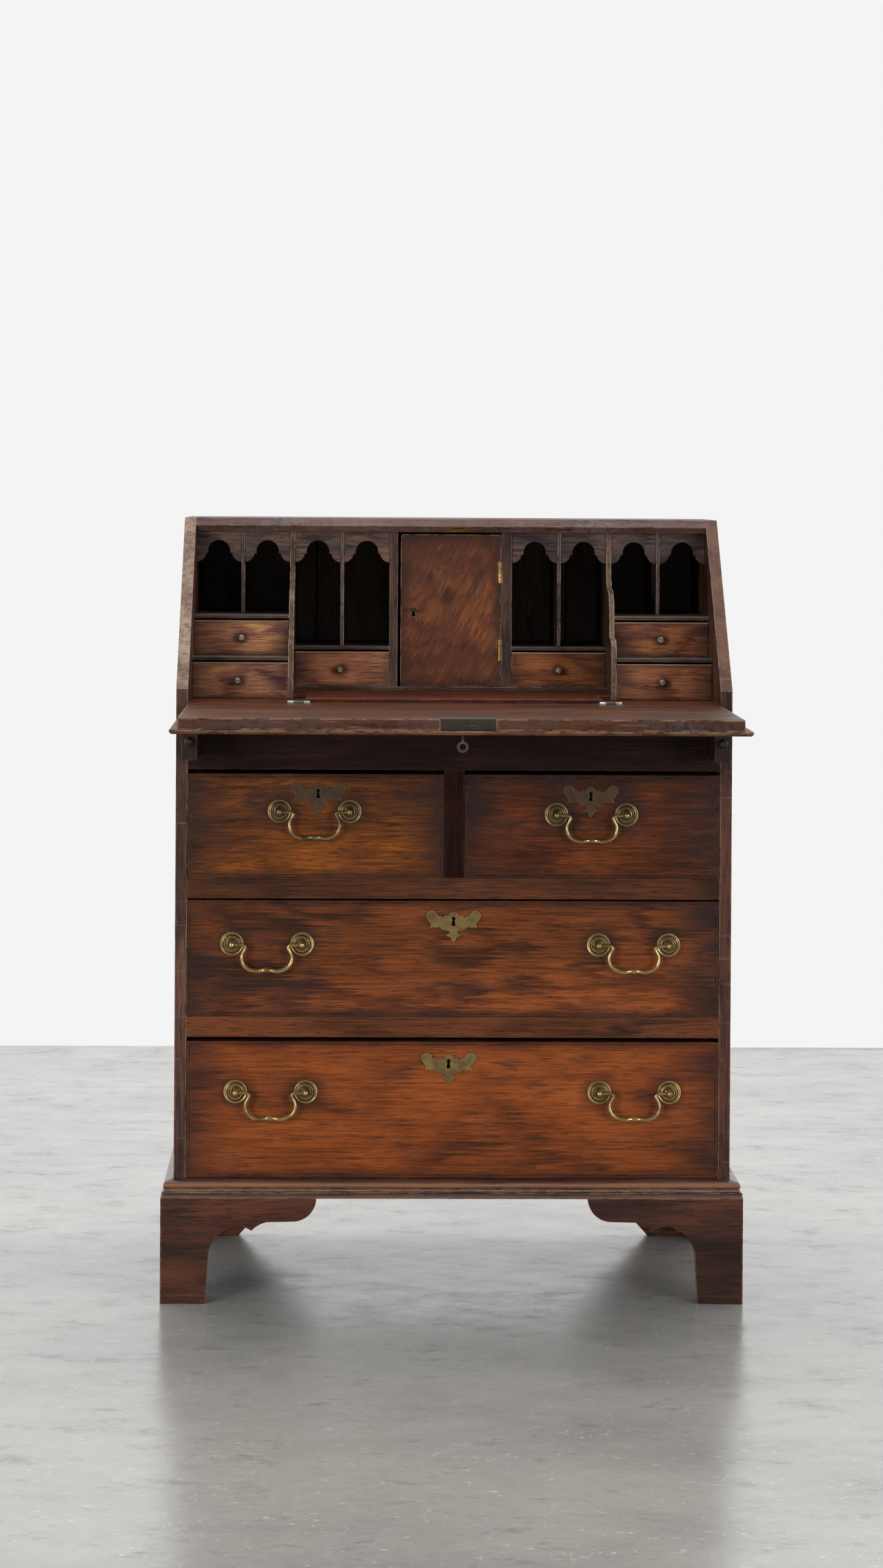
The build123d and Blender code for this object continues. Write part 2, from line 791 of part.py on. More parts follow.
def fall_hinge(x):
    """The fixed leaf with two outer knuckles and the pin, and the moving leaf with the middle one."""
    low, high = x - hinge_length / 2, x + hinge_length / 2
    with BuildPart() as fixed:
        for start in (low, high - knuckle_end):
            with BuildSketch(hinge_axis.offset(start)):
                Circle(knuckle_radius)
            extrude(amount=knuckle_end)
        slab(
            (low, front + joint_gap, writing_top - leaf_thickness),
            (high, front + knuckle_radius + leaf_length, writing_top),
        )
        with BuildSketch(hinge_axis.offset(low + knuckle_end)):
            Circle(knuckle_radius + knuckle_gap)
        extrude(amount=hinge_length - 2 * knuckle_end, mode=Mode.SUBTRACT)
        with BuildSketch(hinge_axis.offset(low)):
            Circle(hinge_pin_radius)
        extrude(amount=hinge_length)
    with BuildPart() as moving:
        with BuildSketch(hinge_axis.offset(low + knuckle_end + knuckle_gap)):
            Circle(knuckle_radius)
        extrude(amount=hinge_length - 2 * (knuckle_end + knuckle_gap))
        slab(
            (low, front - knuckle_radius - leaf_length, writing_top - leaf_thickness),
            (high, front - joint_gap, writing_top),
        )
        for start in (low - overrun, high - knuckle_end - knuckle_gap):
            with BuildSketch(hinge_axis.offset(start)):
                Circle(knuckle_radius + knuckle_gap)
            extrude(amount=overrun + knuckle_end + knuckle_gap, mode=Mode.SUBTRACT)
        with BuildSketch(hinge_axis.offset(low)):
            Circle(hinge_pin_radius + hinge_pin_gap)
        extrude(amount=hinge_length, mode=Mode.SUBTRACT)
    return fixed, moving


fall_hinges = [fall_hinge(x) for x in (-hinge_place, hinge_place)]
keep(group([moving for fixed, moving in fall_hinges]), "fall_hinge_leaves")


def turned_knob(plane, radius, neck, length):
    """A round knob on a neck, turned about the plane's normal."""
    with BuildPart() as knob:
        with BuildSketch(Plane(origin=plane.origin, x_dir=plane.x_dir, z_dir=-plane.y_dir)):
            with BuildLine():
                Polyline((0, 0), (neck * 4 / 3, 0), (neck, length / 4), (neck, length / 3))
                ThreePointArc((neck, length / 3), (radius, length * 2 / 3), (radius / 2, length))
                Polyline((radius / 2, length), (0, length), (0, 0))
            make_face()
        revolve(axis=Axis(plane.origin, plane.z_dir))
    return knob


# Lopers, pulled a little way out, each with a turned knob
for label, side in (("left", -1), ("right", 1)):
    x_middle = side * (loper_inner + loper_outer) / 2
    bar = board(
        (x_middle - loper_width / 2, front - loper_out, loper_bottom),
        (x_middle + loper_width / 2, front - loper_out + loper_length, loper_top),
    )
    knob_plane = Plane(
        origin=(x_middle, front - loper_out, (loper_bottom + loper_top) / 2),
        x_dir=(1, 0, 0), z_dir=(0, -1, 0),
    )
    knob = turned_knob(knob_plane, loper_knob_radius, loper_neck_radius, loper_knob_length)
    keep(group([bar, knob]), f"loper_{label}")

# Stepped partitions: two ogees carry the front edge back as it rises
step_top = low_shelf + shelf_thickness
ogee_top = pigeon_floor + ogee_rise
with BuildPart() as partition:
    with BuildSketch(Plane.YZ.offset(partition_inner)):
        with BuildLine():
            Line((front + low_tier, writing_top), (front + low_tier, step_top))
            ogee((front + low_tier, step_top), (front + high_tier, high_shelf))
            Line((front + high_tier, high_shelf), (front + high_tier, pigeon_floor))
            ogee((front + high_tier, pigeon_floor), (front + back_tier, ogee_top))
            Polyline(
                (front + back_tier, ogee_top), (front + back_tier, top_underside),
                (back_face, top_underside), (back_face, writing_top), (front + low_tier, writing_top),
            )
        make_face()
    extrude(amount=partition_thickness)
keep(group([mirrored(partition), partition]), "stepped_partitions")


def divider(x, floor):
    """A thin upright between two pigeonholes."""
    return board(
        (x - divider_thickness / 2, front + back_tier, floor),
        (x + divider_thickness / 2, back_face, top_underside),
    )


dividers = [divider(-outer_divider, pigeon_floor), divider(-inner_divider, inner_pigeon_floor)]
dividers += [mirrored(upright) for upright in dividers]
keep(group(dividers), "pigeonhole_dividers")


def shelf(low, high):
    """A thin board whose front edge is rounded."""
    with BuildPart() as thin:
        slab(low, high)
        fillet(thin.edges().filter_by(Axis.X).group_by(Axis.Y)[0], shelf_round)
    return thin


# Thin shelves of the two side bays, and the floor and shelves of the middle ones
shelves = []
for x0, x1, tier, top, thickness in (
    (partition_outer, inner_half, low_tier, step_top, shelf_thickness),
    (partition_outer, inner_half, high_tier, pigeon_floor, shelf_thickness),
    (stile_edge, partition_inner, back_tier, inner_pigeon_floor, shelf_thickness),
):
    piece = shelf((x0, front + tier, top - thickness), (x1, back_face, top))
    shelves += [piece, mirrored(piece)]
shelves.append(
    board((-partition_inner, front + back_tier, inner_floor), (partition_inner, back_face, inner_base))
)
keep(group(shelves), "interior_shelves")


def valance(left, right):
    """A scalloped board over one pigeonhole: half a lobe at each upright, an arch between them."""
    low = top_underside - valance_drop
    spring = low + valance_lobe_drop
    crown = top_underside - valance_rail
    step_left, step_right = left + valance_lobe, right - valance_lobe
    arch_left, arch_right = step_left + valance_step, step_right - valance_step
    with BuildPart() as cut:
        with BuildSketch(facing(front + back_tier + valance_setback + valance_thickness)):
            with BuildLine():
                TangentArc((left, low), (step_left, spring), tangent=(1, 0))
                Line((step_left, spring), (arch_left, spring))
                ThreePointArc((arch_left, spring), ((left + right) / 2, crown), (arch_right, spring))
                Line((arch_right, spring), (step_right, spring))
                TangentArc((right, low), (step_right, spring), tangent=(-1, 0))
                Polyline((right, low), (right, top_underside), (left, top_underside), (left, low))
            make_face()
        extrude(amount=valance_thickness)
    return cut


valances = []
for near, middle, far in (
    (partition_outer, outer_divider, inner_half), (stile_edge, inner_divider, partition_inner),
):
    valances.append(valance(near, middle - divider_thickness / 2))
    valances.append(valance(middle + divider_thickness / 2, far))
valances += [mirrored(cut) for cut in valances]
keep(group(valances), "pigeonhole_valances")

# Cupboard: door between two stiles, thin walls behind them, two butt hinges and a lock
face = front + back_tier
door_left = -stile_edge + lock_stile + door_lock_gap
door_right = stile_edge - hinge_stile - door_hinge_gap
door_back = face + door_thickness
butt_x = stile_edge - hinge_stile - butt_radius - bolt_gap
butt_levels = (inner_base + butt_foot_inset + butt_length / 2, top_underside - butt_top_inset - butt_length)
key_x = door_left + door_key_inset
key_level = inner_base + door_key_rise
lock_front = door_back - door_lock_depth
butt_end = butt_length * knuckle_end_share
flange = butt_pin_radius


def butt_plate(x0, x1, y0, y1, level, gap=0.0, mode=Mode.ADD):
    """A plate of a butt hinge, or the seat for it."""
    slab((x0, y0, level - butt_length / 2 - gap), (x1, y1, level + butt_length / 2 + gap), mode=mode)


with BuildPart() as hinge_stile_board:
    slab(
        (stile_edge - hinge_stile, face, inner_base), (stile_edge, face + stile_depth, top_underside)
    )
    for level in butt_levels:
        butt_plate(
            stile_edge - hinge_stile - overrun, stile_edge - hinge_stile + flange, face - overrun,
            face + butt_leaf, level, mode=Mode.SUBTRACT,
        )
with BuildPart() as lock_stile_board:
    slab((-stile_edge, face, inner_base), (-stile_edge + lock_stile, face + stile_depth, top_underside))
    with Locations((-stile_edge + lock_stile, (lock_front + door_back) / 2, key_level)):
        Box(lock_stile, door_bolt_thickness + bolt_height, 2 * bolt_height, mode=Mode.SUBTRACT)
wall = board(
    (stile_edge - divider_thickness, face + stile_depth, inner_base), (stile_edge, back_face, top_underside)
)
keep(group([lock_stile_board, hinge_stile_board, wall, mirrored(wall)]), "cupboard_stiles")

door_plane = Plane(origin=(key_x, face, key_level), x_dir=(1, 0, 0), z_dir=(0, -1, 0))
key_lean = radians(door_key_lean)
door_key_plane = Plane(
    origin=door_plane.origin, x_dir=(cos(key_lean), 0, -sin(key_lean)), z_dir=(0, -1, 0)
)
with BuildPart() as cupboard_door:
    slab(
        (door_left, face, inner_base + door_foot_gap), (door_right, door_back, top_underside - door_head_gap)
    )
    lock_side = cupboard_door.edges().filter_by(Axis.Y).group_by(Axis.X)[0]
    fillet(lock_side.sort_by(Axis.Z)[-1], door_corner_round)
    for level in butt_levels:
        room = butt_radius + knuckle_gap
        butt_plate(
            butt_x - room, door_right + overrun, face - overrun, face + room, level, knuckle_gap,
            Mode.SUBTRACT,
        )
        butt_plate(
            butt_x - flange / 2, butt_x + flange / 2, face, face + butt_leaf, level, mode=Mode.SUBTRACT
        )
    slab(
        (door_left - overrun, lock_front, key_level - door_lock_height / 2),
        (door_left + door_lock_width, door_back + overrun, key_level + door_lock_height / 2),
        mode=Mode.SUBTRACT,
    )
    extrude(keyhole_sketch(door_plane), amount=-door_thickness, mode=Mode.SUBTRACT)
keep(cupboard_door.part, "cupboard_door")

with BuildPart() as door_lock:
    slab(
        (door_left, lock_front, key_level - door_lock_height / 2),
        (door_left + door_lock_width, door_back, key_level + door_lock_height / 2),
    )
    with Locations((key_x, lock_front, key_level)):
        Cylinder(
            bit_room, 2 * (door_lock_depth - fall_lock_plate), rotation=(90, 0, 0), mode=Mode.SUBTRACT
        )
    with Locations((door_left, (lock_front + door_back) / 2, key_level)):
        Box(2 * door_key_inset, door_bolt_thickness, bolt_height, mode=Mode.SUBTRACT)
keep(door_lock.part, "door_lock")
with BuildPart() as door_bolt:
    slab(
        (
            door_left, (lock_front + door_back - door_bolt_thickness) / 2 + bolt_gap,
            key_level - bolt_height / 2 + bolt_gap,
        ),
        (
            key_x - bit_room, (lock_front + door_back + door_bolt_thickness) / 2 - bolt_gap,
            key_level + bolt_height / 2 - bolt_gap,
        ),
    )
keep(door_bolt.part, "door_bolt")
door_key = key(
    door_key_plane, lock_front + key_bit_height - face,
    door_bow_drop, door_bow_radius, door_bow_hole, door_bow_thickness,
)
keep(door_key.part, "door_key")


def butt_hinge(level):
    """The stile's leaf with two outer knuckles and the pin, and the door's leaf with the middle one."""
    low = level - butt_length / 2
    middle = butt_length - 2 * butt_end
    with BuildPart() as fixed:
        with Locations((butt_x, face, level)):
            Cylinder(butt_radius, butt_length)
        butt_plate(butt_x, stile_edge - hinge_stile + flange, face, face + flange, level)
        butt_plate(
            stile_edge - hinge_stile, stile_edge - hinge_stile + flange, face, face + butt_leaf, level
        )
        with Locations((butt_x, face, level)):
            Cylinder(butt_radius + knuckle_gap, middle, mode=Mode.SUBTRACT)
            Cylinder(butt_pin_radius, butt_length)
    with BuildPart() as moving:
        with Locations((butt_x, face, level)):
            Cylinder(butt_radius, middle - 2 * knuckle_gap)
        butt_plate(butt_x - flange / 2, butt_x + flange / 2, face, face + butt_leaf, level)
        for start in (low + butt_end / 2, level + butt_length / 2 - butt_end / 2):
            with Locations((butt_x, face, start)):
                Cylinder(butt_radius + knuckle_gap, butt_end + 2 * knuckle_gap, mode=Mode.SUBTRACT)
        with Locations((butt_x, face, level)):
            Cylinder(butt_pin_radius + hinge_pin_gap, butt_length, mode=Mode.SUBTRACT)
    return fixed, moving


butts = [butt_hinge(level) for level in butt_levels]
keep(group([moving for fixed, moving in butts]), "door_hinge_leaves")
keep(group([fixed for fixed, moving in (*fall_hinges, *butts)]), "fixed_hinge_leaves")

# Construction of a drawer, one set of sizes for the large and one for the small
large = dict(
    front=front_thickness, side=drawer_side, base=drawer_bottom, rise=bottom_rise, groove=bottom_groove,
    lap=dovetail_lap, drop=side_drop, gap=drawer_side_gap, run=drawer_run, tails=4,
)
small = dict(
    front=small_front, side=small_side, base=small_bottom, rise=small_side, groove=small_side / 2,
    lap=small_lap, drop=small_run, gap=small_side_gap, run=small_run, tails=2,
)


def tails(x, width, root, tip, low, high, count):
    """The dovetails of a drawer side, narrow at the root and wide at the tip, as a sketch to extrude."""
    pitch = (high - low) / count
    half = pitch / 4
    flare = abs(tip - root) * tan(radians(dovetail_slope))
    with BuildPart() as row:
        with BuildSketch(Plane.YZ.offset(x)):
            for index in range(count):
                z = low + pitch * (index + 1 / 2)
                with BuildLine():
                    Polyline(
                        (root, z - half), (root, z + half), (tip, z + half + flare),
                        (tip, z - half - flare), close=True,
                    )
                make_face()
        extrude(amount=width)
    return row.part


def drawer(x0, x1, z0, z1, y0, y1, slack, kind):
    """The front, sides, back and bottom of a drawer that fills an opening, less its running gaps."""
    left, right = x0 + kind["gap"], x1 - kind["gap"]
    low, high = z0 + kind["run"], z1 - slack
    side_high = high - kind["drop"]
    behind = y0 + kind["front"]
    base = low + kind["rise"]
    back_front = y1 - kind["side"]
    rows = []
    for x in (left, right - kind["side"]):
        rows.append(tails(x, kind["side"], behind, behind - kind["lap"], low, side_high, kind["tails"]))
        rows.append(
            tails(x, kind["side"], back_front, y1, base + kind["base"], side_high, kind["tails"])
        )
    panel_low = (left + kind["side"] - kind["groove"], behind - kind["groove"], base)
    panel_high = (right - kind["side"] + kind["groove"], y1, base + kind["base"])
    with BuildPart() as front_board:
        slab((left, y0, low), (right, behind, high))
        for row in rows:
            add(row, mode=Mode.SUBTRACT)
        slab(panel_low, panel_high, mode=Mode.SUBTRACT)
    sides = []
    for index, x in enumerate((left, right - kind["side"])):
        with BuildPart() as side:
            slab((x, behind, low), (x + kind["side"], back_front, side_high))
            slab((x, back_front, low), (x + kind["side"], y1, base + kind["base"]))
            add(rows[2 * index])
            add(rows[2 * index + 1])
            slab(panel_low, panel_high, mode=Mode.SUBTRACT)
        sides.append(side)
    with BuildPart() as back_board:
        slab((left, back_front, base + kind["base"]), (right, y1, side_high))
        for row in rows:
            add(row, mode=Mode.SUBTRACT)
    return front_board, [*sides, back_board, board(panel_low, panel_high)]


# Six small drawers, each with a turned knob
small_openings = {
    "lower_outer": (
        partition_outer, inner_half, writing_top, low_shelf, low_tier, lower_knob_shift, lower_knob_shift,
    ),
    "upper_outer": (
        partition_outer, inner_half, step_top, high_shelf, high_tier, 0, upper_right_knob_shift,
    ),
    "inner": (
        stile_edge, partition_inner, inner_base, inner_shelf, back_tier, inner_left_knob_shift, 0,
    ),
}
for label, (x0, x1, z0, z1, tier, left_shift, right_shift) in small_openings.items():
    front_board, box = drawer(
        x0, x1, z0, z1, front + tier, back_face - small_back_gap, small_slack, small
    )
    middle, knob_height = (x0 + x1) / 2, (z0 + z1 - small_slack) / 2 - small_knob_dip
    knobs = []
    for place in (middle + right_shift, left_shift - middle):
        knob_plane = Plane(origin=(place, front + tier, knob_height), x_dir=(1, 0, 0), z_dir=(0, -1, 0))
        knobs.append(turned_knob(knob_plane, small_knob_radius, small_neck_radius, small_knob_length))
    right_pieces = [front_board, *box]
    left_pieces = [mirrored(piece) for piece in right_pieces]
    keep(group([*right_pieces, knobs[0]]), f"{label}_drawer_right")
    keep(group([*left_pieces, knobs[1]]), f"{label}_drawer_left")


def post(plane, side):
    """A ringed rose with a ball for the bail, and the post that goes through the drawer front."""
    profile = Plane(origin=plane.origin, x_dir=plane.y_dir, z_dir=plane.x_dir)
    neck = post_radius * 6 / 5
    post_end = -front_thickness - 2 * nut_height
    with BuildPart() as made:
        with BuildSketch(profile):
            with BuildLine():
                Polyline(
                    (0, post_end), (post_radius, post_end), (post_radius, 0),
                    *[(share[0] * rose_radius, share[1] * rose_height) for share in rose_shares],
                    (neck, rose_height), (neck, handle_standoff - ball_radius * 3 / 4),
                )
                ThreePointArc(
                    (neck, handle_standoff - ball_radius * 3 / 4), (ball_radius, handle_standoff),
                    (0, handle_standoff + ball_radius),
                )
                Line((0, handle_standoff + ball_radius), (0, post_end))
            make_face()
        revolve(axis=Axis(plane.origin, plane.z_dir))
        hole = Plane(
            origin=plane.from_local_coords((0, 0, handle_standoff)), x_dir=plane.y_dir, z_dir=plane.x_dir
        )
        with BuildSketch(hole):
            Circle(pin_radius + pin_gap)
        extrude(amount=-side * (ball_radius + pin_gap), mode=Mode.SUBTRACT)
    return made


def nut(plane):
    """The square-edged nut behind the drawer front."""
    with BuildPart() as made:
        with BuildSketch(plane.offset(-front_thickness)):
            RegularPolygon(nut_radius, key_sides // 2)
            Circle(post_radius, mode=Mode.SUBTRACT)
        extrude(amount=-nut_height)
    return made


def bail(x, y, z):
    """A swan-neck bail, lofted through many-sided rings square to its path."""
    half = handle_span / 2
    right_side = [(share[0] * half, -share[1] * bail_drop, share[2] * bail_radius) for share in bail_shares]
    line = [(-px, pz, radius) for px, pz, radius in right_side] + right_side[-2::-1]
    rings = []
    for index, (px, pz, radius) in enumerate(line):
        before = line[max(index - 1, 0)]
        after = line[min(index + 1, len(line) - 1)]
        heading = Vector(after[0] - before[0], 0, after[1] - before[1])
        plane = Plane(origin=(x + px, y, z + pz), x_dir=(0, 1, 0), z_dir=heading)
        with BuildSketch(plane) as ring:
            RegularPolygon(radius, bail_sides)
        rings.append(ring.sketch)
    with BuildPart() as made:
        loft(rings, ruled=True)
    return made


# Four large drawers, with their brasses and bails
drawer_kinds = (
    (
        "top_left_drawer", -inner_half, -muntin_width / 2, mid_rail_top, frieze_bottom, top_slack,
        (-top_handle_place + top_left_handle_shift,), top_left_handle_height, top_left_plate_rise,
        top_left_plate_shift,
    ),
    (
        "top_right_drawer", muntin_width / 2, inner_half, mid_rail_top, frieze_bottom, top_slack,
        (top_handle_place + top_right_handle_shift,), top_right_handle_height, top_right_plate_rise,
        top_right_plate_shift,
    ),
    (
        "middle_drawer", -inner_half, inner_half, low_rail_top, mid_rail_top - mid_rail, mid_slack,
        (-mid_handle_place + mid_handle_shift, mid_handle_place + mid_handle_shift),
        mid_handle_height, mid_plate_rise, 0,
    ),
    (
        "bottom_drawer", -inner_half, inner_half, base_top, low_rail_top - low_rail, low_slack,
        (-low_handle_place, low_handle_place), low_handle_height, low_plate_rise, low_plate_shift,
    ),
)
for label, x0, x1, z0, z1, slack, handle_places, handle_height, plate_lift, plate_shift in drawer_kinds:
    front_board, box = drawer(x0, x1, z0, z1, front, back_face - drawer_back_gap, slack, large)
    middle, high, behind = (x0 + x1) / 2, z1 - slack, front + front_thickness
    lock_plane = Plane(
        origin=(middle + plate_shift, front, z0 + handle_height + plate_lift),
        x_dir=(1, 0, 0), z_dir=(0, -1, 0),
    )
    planes = [
        (
            Plane(
                origin=(place + side * handle_span / 2, front, z0 + handle_height), x_dir=(1, 0, 0),
                z_dir=(0, -1, 0),
            ), side,
        )
        for place in handle_places for side in (-1, 1)
    ]
    lock_low = (middle - lock_width / 2, behind - lock_depth, high - lock_height)
    lock_high = (middle + lock_width / 2, behind, high)
    with BuildPart() as front_made:
        add(front_board.part)
        with BuildSketch(facing(front)):
            with Locations((middle, (z0 + drawer_run + high) / 2)):
                wide = x1 - x0 - 2 * (drawer_side_gap + bead_inset)
                tall = high - z0 - drawer_run - 2 * bead_inset
                Rectangle(wide, tall)
                Rectangle(wide - 2 * bead_width, tall - 2 * bead_width, mode=Mode.SUBTRACT)
        extrude(amount=-bead_depth, mode=Mode.SUBTRACT)
        for plane, side in planes:
            with BuildSketch(plane):
                Circle(post_radius + post_gap)
            extrude(amount=-front_thickness, mode=Mode.SUBTRACT)
        extrude(keyhole_sketch(lock_plane), amount=-front_thickness, mode=Mode.SUBTRACT)
        slab(lock_low, lock_high, mode=Mode.SUBTRACT)
    with BuildPart() as lock_case:
        slab(lock_low, lock_high)
        extrude(keyhole_sketch(lock_plane), amount=-front_thickness + lock_depth / 2, mode=Mode.SUBTRACT)
    keep(front_made.part, f"{label}_front")
    keep(group(box), f"{label}_box")
    posts = [post(plane, side) for plane, side in planes]
    nuts = [nut(plane) for plane, side in planes]
    keep(group([*posts, *nuts, keyhole_plate(lock_plane), lock_case]), f"{label}_brasses")
    for index, place in enumerate(handle_places):
        name = f"{label}_bail" if len(handle_places) == 1 else f"{label}_bail_{('left', 'right')[index]}"
        keep(bail(place, front - handle_standoff, z0 + handle_height).part, name)


# Base moulding, mitred at the front corners
def moulding_sketch(plane):
    """The moulding in section: band, quirk, bead and a hollow that dies into the side."""
    with BuildSketch(plane) as section:
        with BuildLine():
            Polyline(
                (0, moulding_height), (0, 0), (foot_projection, 0), (moulding_band_reach, moulding_band),
                (moulding_quirk_reach, moulding_quirk), (moulding_quirk_reach, moulding_bead_foot),
            )
            ThreePointArc(
                (moulding_quirk_reach, moulding_bead_foot), (moulding_bead_reach, moulding_bead_middle),
                (moulding_bead_end, moulding_bead_top),
            )
            Line((moulding_bead_end, moulding_bead_top), (0, moulding_height))
        make_face()
    return section.sketch


foot_half = half_width + foot_projection
foot_front = front - foot_projection
mitre_right = Plane(origin=(half_width, front, 0), z_dir=(1, 1, 0))
mitre_left = Plane(origin=(-half_width, front, 0), z_dir=(-1, 1, 0))
with BuildPart() as front_moulding:
    front_run = Plane(origin=(foot_half, front, foot_height), x_dir=(0, -1, 0), z_dir=(-1, 0, 0))
    extrude(moulding_sketch(front_run), amount=2 * foot_half)
    split(bisect_by=mitre_right, keep=Keep.BOTTOM)
    split(bisect_by=mitre_left, keep=Keep.BOTTOM)
with BuildPart() as side_moulding:
    side_run = Plane(origin=(half_width, foot_front, foot_height), x_dir=(1, 0, 0), z_dir=(0, -1, 0))
    extrude(moulding_sketch(side_run), amount=-(carcass_depth + foot_projection))
    split(bisect_by=mitre_right, keep=Keep.TOP)
keep(group([front_moulding, side_moulding, mirrored(side_moulding)]), "base_moulding")


def bracket_outline(start, direction):
    """A shaped bracket: ankle, hollow, cusp and ogee, up to the underside of the carcass."""

    def at(share):
        return (start + direction * share[0] * foot_width, share[1] * foot_height)

    Polyline((start, foot_height), (start, 0), at(ankle_share), at(shin_share))
    ThreePointArc(at(shin_share), at(hollow_shares[0]), at(hollow_shares[1]))
    ThreePointArc(at(hollow_shares[1]), at(cusp_shares[0]), at(cusp_shares[1]))
    ThreePointArc(at(cusp_shares[1]), at(rise_shares[0]), at(rise_shares[1]))
    Line(at(rise_shares[1]), at(bridge_share))
    ThreePointArc(at(bridge_share), at(tip_shares[0]), at(tip_shares[1]))
    Line(at(tip_shares[1]), (start, foot_height))


foot_mitre = Plane(origin=(-foot_half, foot_front, 0), z_dir=(1, -1, 0))
with BuildPart() as front_bracket:
    with BuildSketch(facing(foot_front)):
        with BuildLine():
            bracket_outline(-foot_half, 1)
        make_face()
    extrude(amount=-bracket_thickness)
    split(bisect_by=foot_mitre, keep=Keep.TOP)
with BuildPart() as side_bracket:
    with BuildSketch(Plane.YZ.offset(-foot_half)):
        with BuildLine():
            bracket_outline(foot_front, 1)
        make_face()
    extrude(amount=bracket_thickness)
    split(bisect_by=foot_mitre, keep=Keep.BOTTOM)
inner_x = -foot_half + bracket_thickness
front_block = board(
    (inner_x, foot_front + bracket_thickness, block_rise),
    (inner_x + block_size, foot_front + bracket_thickness + block_size, foot_height),
)
front_foot = [front_bracket, side_bracket, front_block]
keep(group([*front_foot, *[mirrored(piece) for piece in front_foot]]), "front_feet")

with BuildPart() as rear_side_bracket:
    with BuildSketch(Plane.YZ.offset(-foot_half)):
        with BuildLine():
            bracket_outline(back, -1)
        make_face()
    extrude(amount=bracket_thickness)
rear_tip = -foot_half + rear_foot_tip
with BuildPart() as rear_bracket:
    with BuildSketch(facing(back - rear_bracket_thickness)):
        with BuildLine():
            Polyline(
                (inner_x, 0), (rear_tip, 0),
                (rear_tip + foot_height / tan(radians(rear_bracket_angle)), foot_height),
                (inner_x, foot_height), close=True,
            )
        make_face()
    extrude(amount=-rear_bracket_thickness)
rear_block = board(
    (inner_x, back - rear_bracket_thickness - block_size, block_rise),
    (inner_x + block_size, back - rear_bracket_thickness, foot_height),
)
rear_foot = [rear_side_bracket, rear_bracket, rear_block]
keep(group([*rear_foot, *[mirrored(piece) for piece in rear_foot]]), "rear_feet")
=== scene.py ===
# %% [markdown]
# # A small oak bureau with a fitted interior
# The joinery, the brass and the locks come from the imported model, in metres, and nothing here
# moves them. This lesson gives them their finish: old oak under many coats of wax, dark where hands
# never reach and bright where they do, worn edges, and brass that has lost its polish. Only the six
# swan-neck bails are made anew, because a cast handle swells in ways that plain solids don't show.

# %% Load the frame
import math

import bpy
import numpy as np
from mathutils import Matrix, Vector


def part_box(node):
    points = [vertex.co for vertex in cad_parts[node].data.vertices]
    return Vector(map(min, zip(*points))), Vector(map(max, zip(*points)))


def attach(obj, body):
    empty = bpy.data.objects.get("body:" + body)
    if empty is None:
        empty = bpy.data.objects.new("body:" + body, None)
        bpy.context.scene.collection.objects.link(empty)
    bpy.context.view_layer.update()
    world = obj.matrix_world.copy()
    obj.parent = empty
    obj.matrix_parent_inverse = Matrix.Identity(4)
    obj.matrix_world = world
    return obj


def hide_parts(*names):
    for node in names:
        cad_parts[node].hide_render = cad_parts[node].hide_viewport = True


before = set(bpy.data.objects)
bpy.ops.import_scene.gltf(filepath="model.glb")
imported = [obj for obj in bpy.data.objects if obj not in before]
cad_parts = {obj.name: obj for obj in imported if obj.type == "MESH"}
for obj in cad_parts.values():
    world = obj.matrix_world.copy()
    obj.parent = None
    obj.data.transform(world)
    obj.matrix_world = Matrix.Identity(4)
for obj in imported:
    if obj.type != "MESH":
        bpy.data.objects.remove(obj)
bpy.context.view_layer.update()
MM = 0.001

# %% [markdown]
# ## Small helpers
# Colours are written as the sRGB hex values that a painter would match by eye, and turned to linear
# light in one place. One function adds a shader node, sets it and links it.


# %% Colour and node helpers
def linear(hex_value):
    """sRGB hex to linear red, green, blue, alpha: each channel c becomes ((c + 0.055) / 1.055) ^ 2.4."""
    channels = [int(hex_value[i:i + 2], 16) / 255 for i in (1, 3, 5)]
    return [c / 12.92 if c <= 0.04045 else ((c + 0.055) / 1.055) ** 2.4 for c in channels] + [1.0]


def add(tree, kind, *values, **settings):
    """Adds a node of a kind with its settings, gives its inputs values or links in order (None leaves one
    as it is, and a hex value is a colour), and returns its first output."""
    made = tree.nodes.new("ShaderNode" + kind)
    for key, value in settings.items():
        setattr(made, key, value)
    for socket, value in zip([socket for socket in made.inputs if socket.enabled], values):
        if isinstance(value, bpy.types.NodeSocket):
            tree.links.new(value, socket)
        elif value is not None:
            socket.default_value = linear(value) if isinstance(value, str) else value
    return [socket for socket in made.outputs if socket.enabled][0] if made.outputs else made.inputs[0]


def new_material(name):
    """An empty node material: the material, its tree, its shader's inputs and the output's."""
    material = bpy.data.materials.new(name)
    material.use_nodes = True
    tree = material.node_tree
    tree.nodes.clear()
    shader = add(tree, "BsdfPrincipled")
    output = add(tree, "OutputMaterial", shader)
    return material, tree, shader.node.inputs, output


def dress(material, *names):
    """Gives one finish to some of the model's nodes."""
    for name in names:
        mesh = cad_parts[name].data
        mesh.materials.clear()
        mesh.materials.append(material)


print("linear mid grey", round(linear("#808080")[0], 3))

# %% [markdown]
# ## Old oak
# The desk is oak, planed by hand and waxed for three centuries. Four things make its colour: the
# wood's own figure, which is its growth rings cut lengthwise; open pores, fine as hairs, that hold
# dark wax; grime that sets where no cloth reaches, along the rims and round the handles; and edges
# rubbed back to pale bare wood. Each is a short function here, and each reads Object coordinates in
# metres, so that a pore stays a pore on every board.
#
# First the grain gets its direction. A turned copy of the coordinates would do for a plain board,
# but a moulding is mitred, so its grain has to turn with the corner.

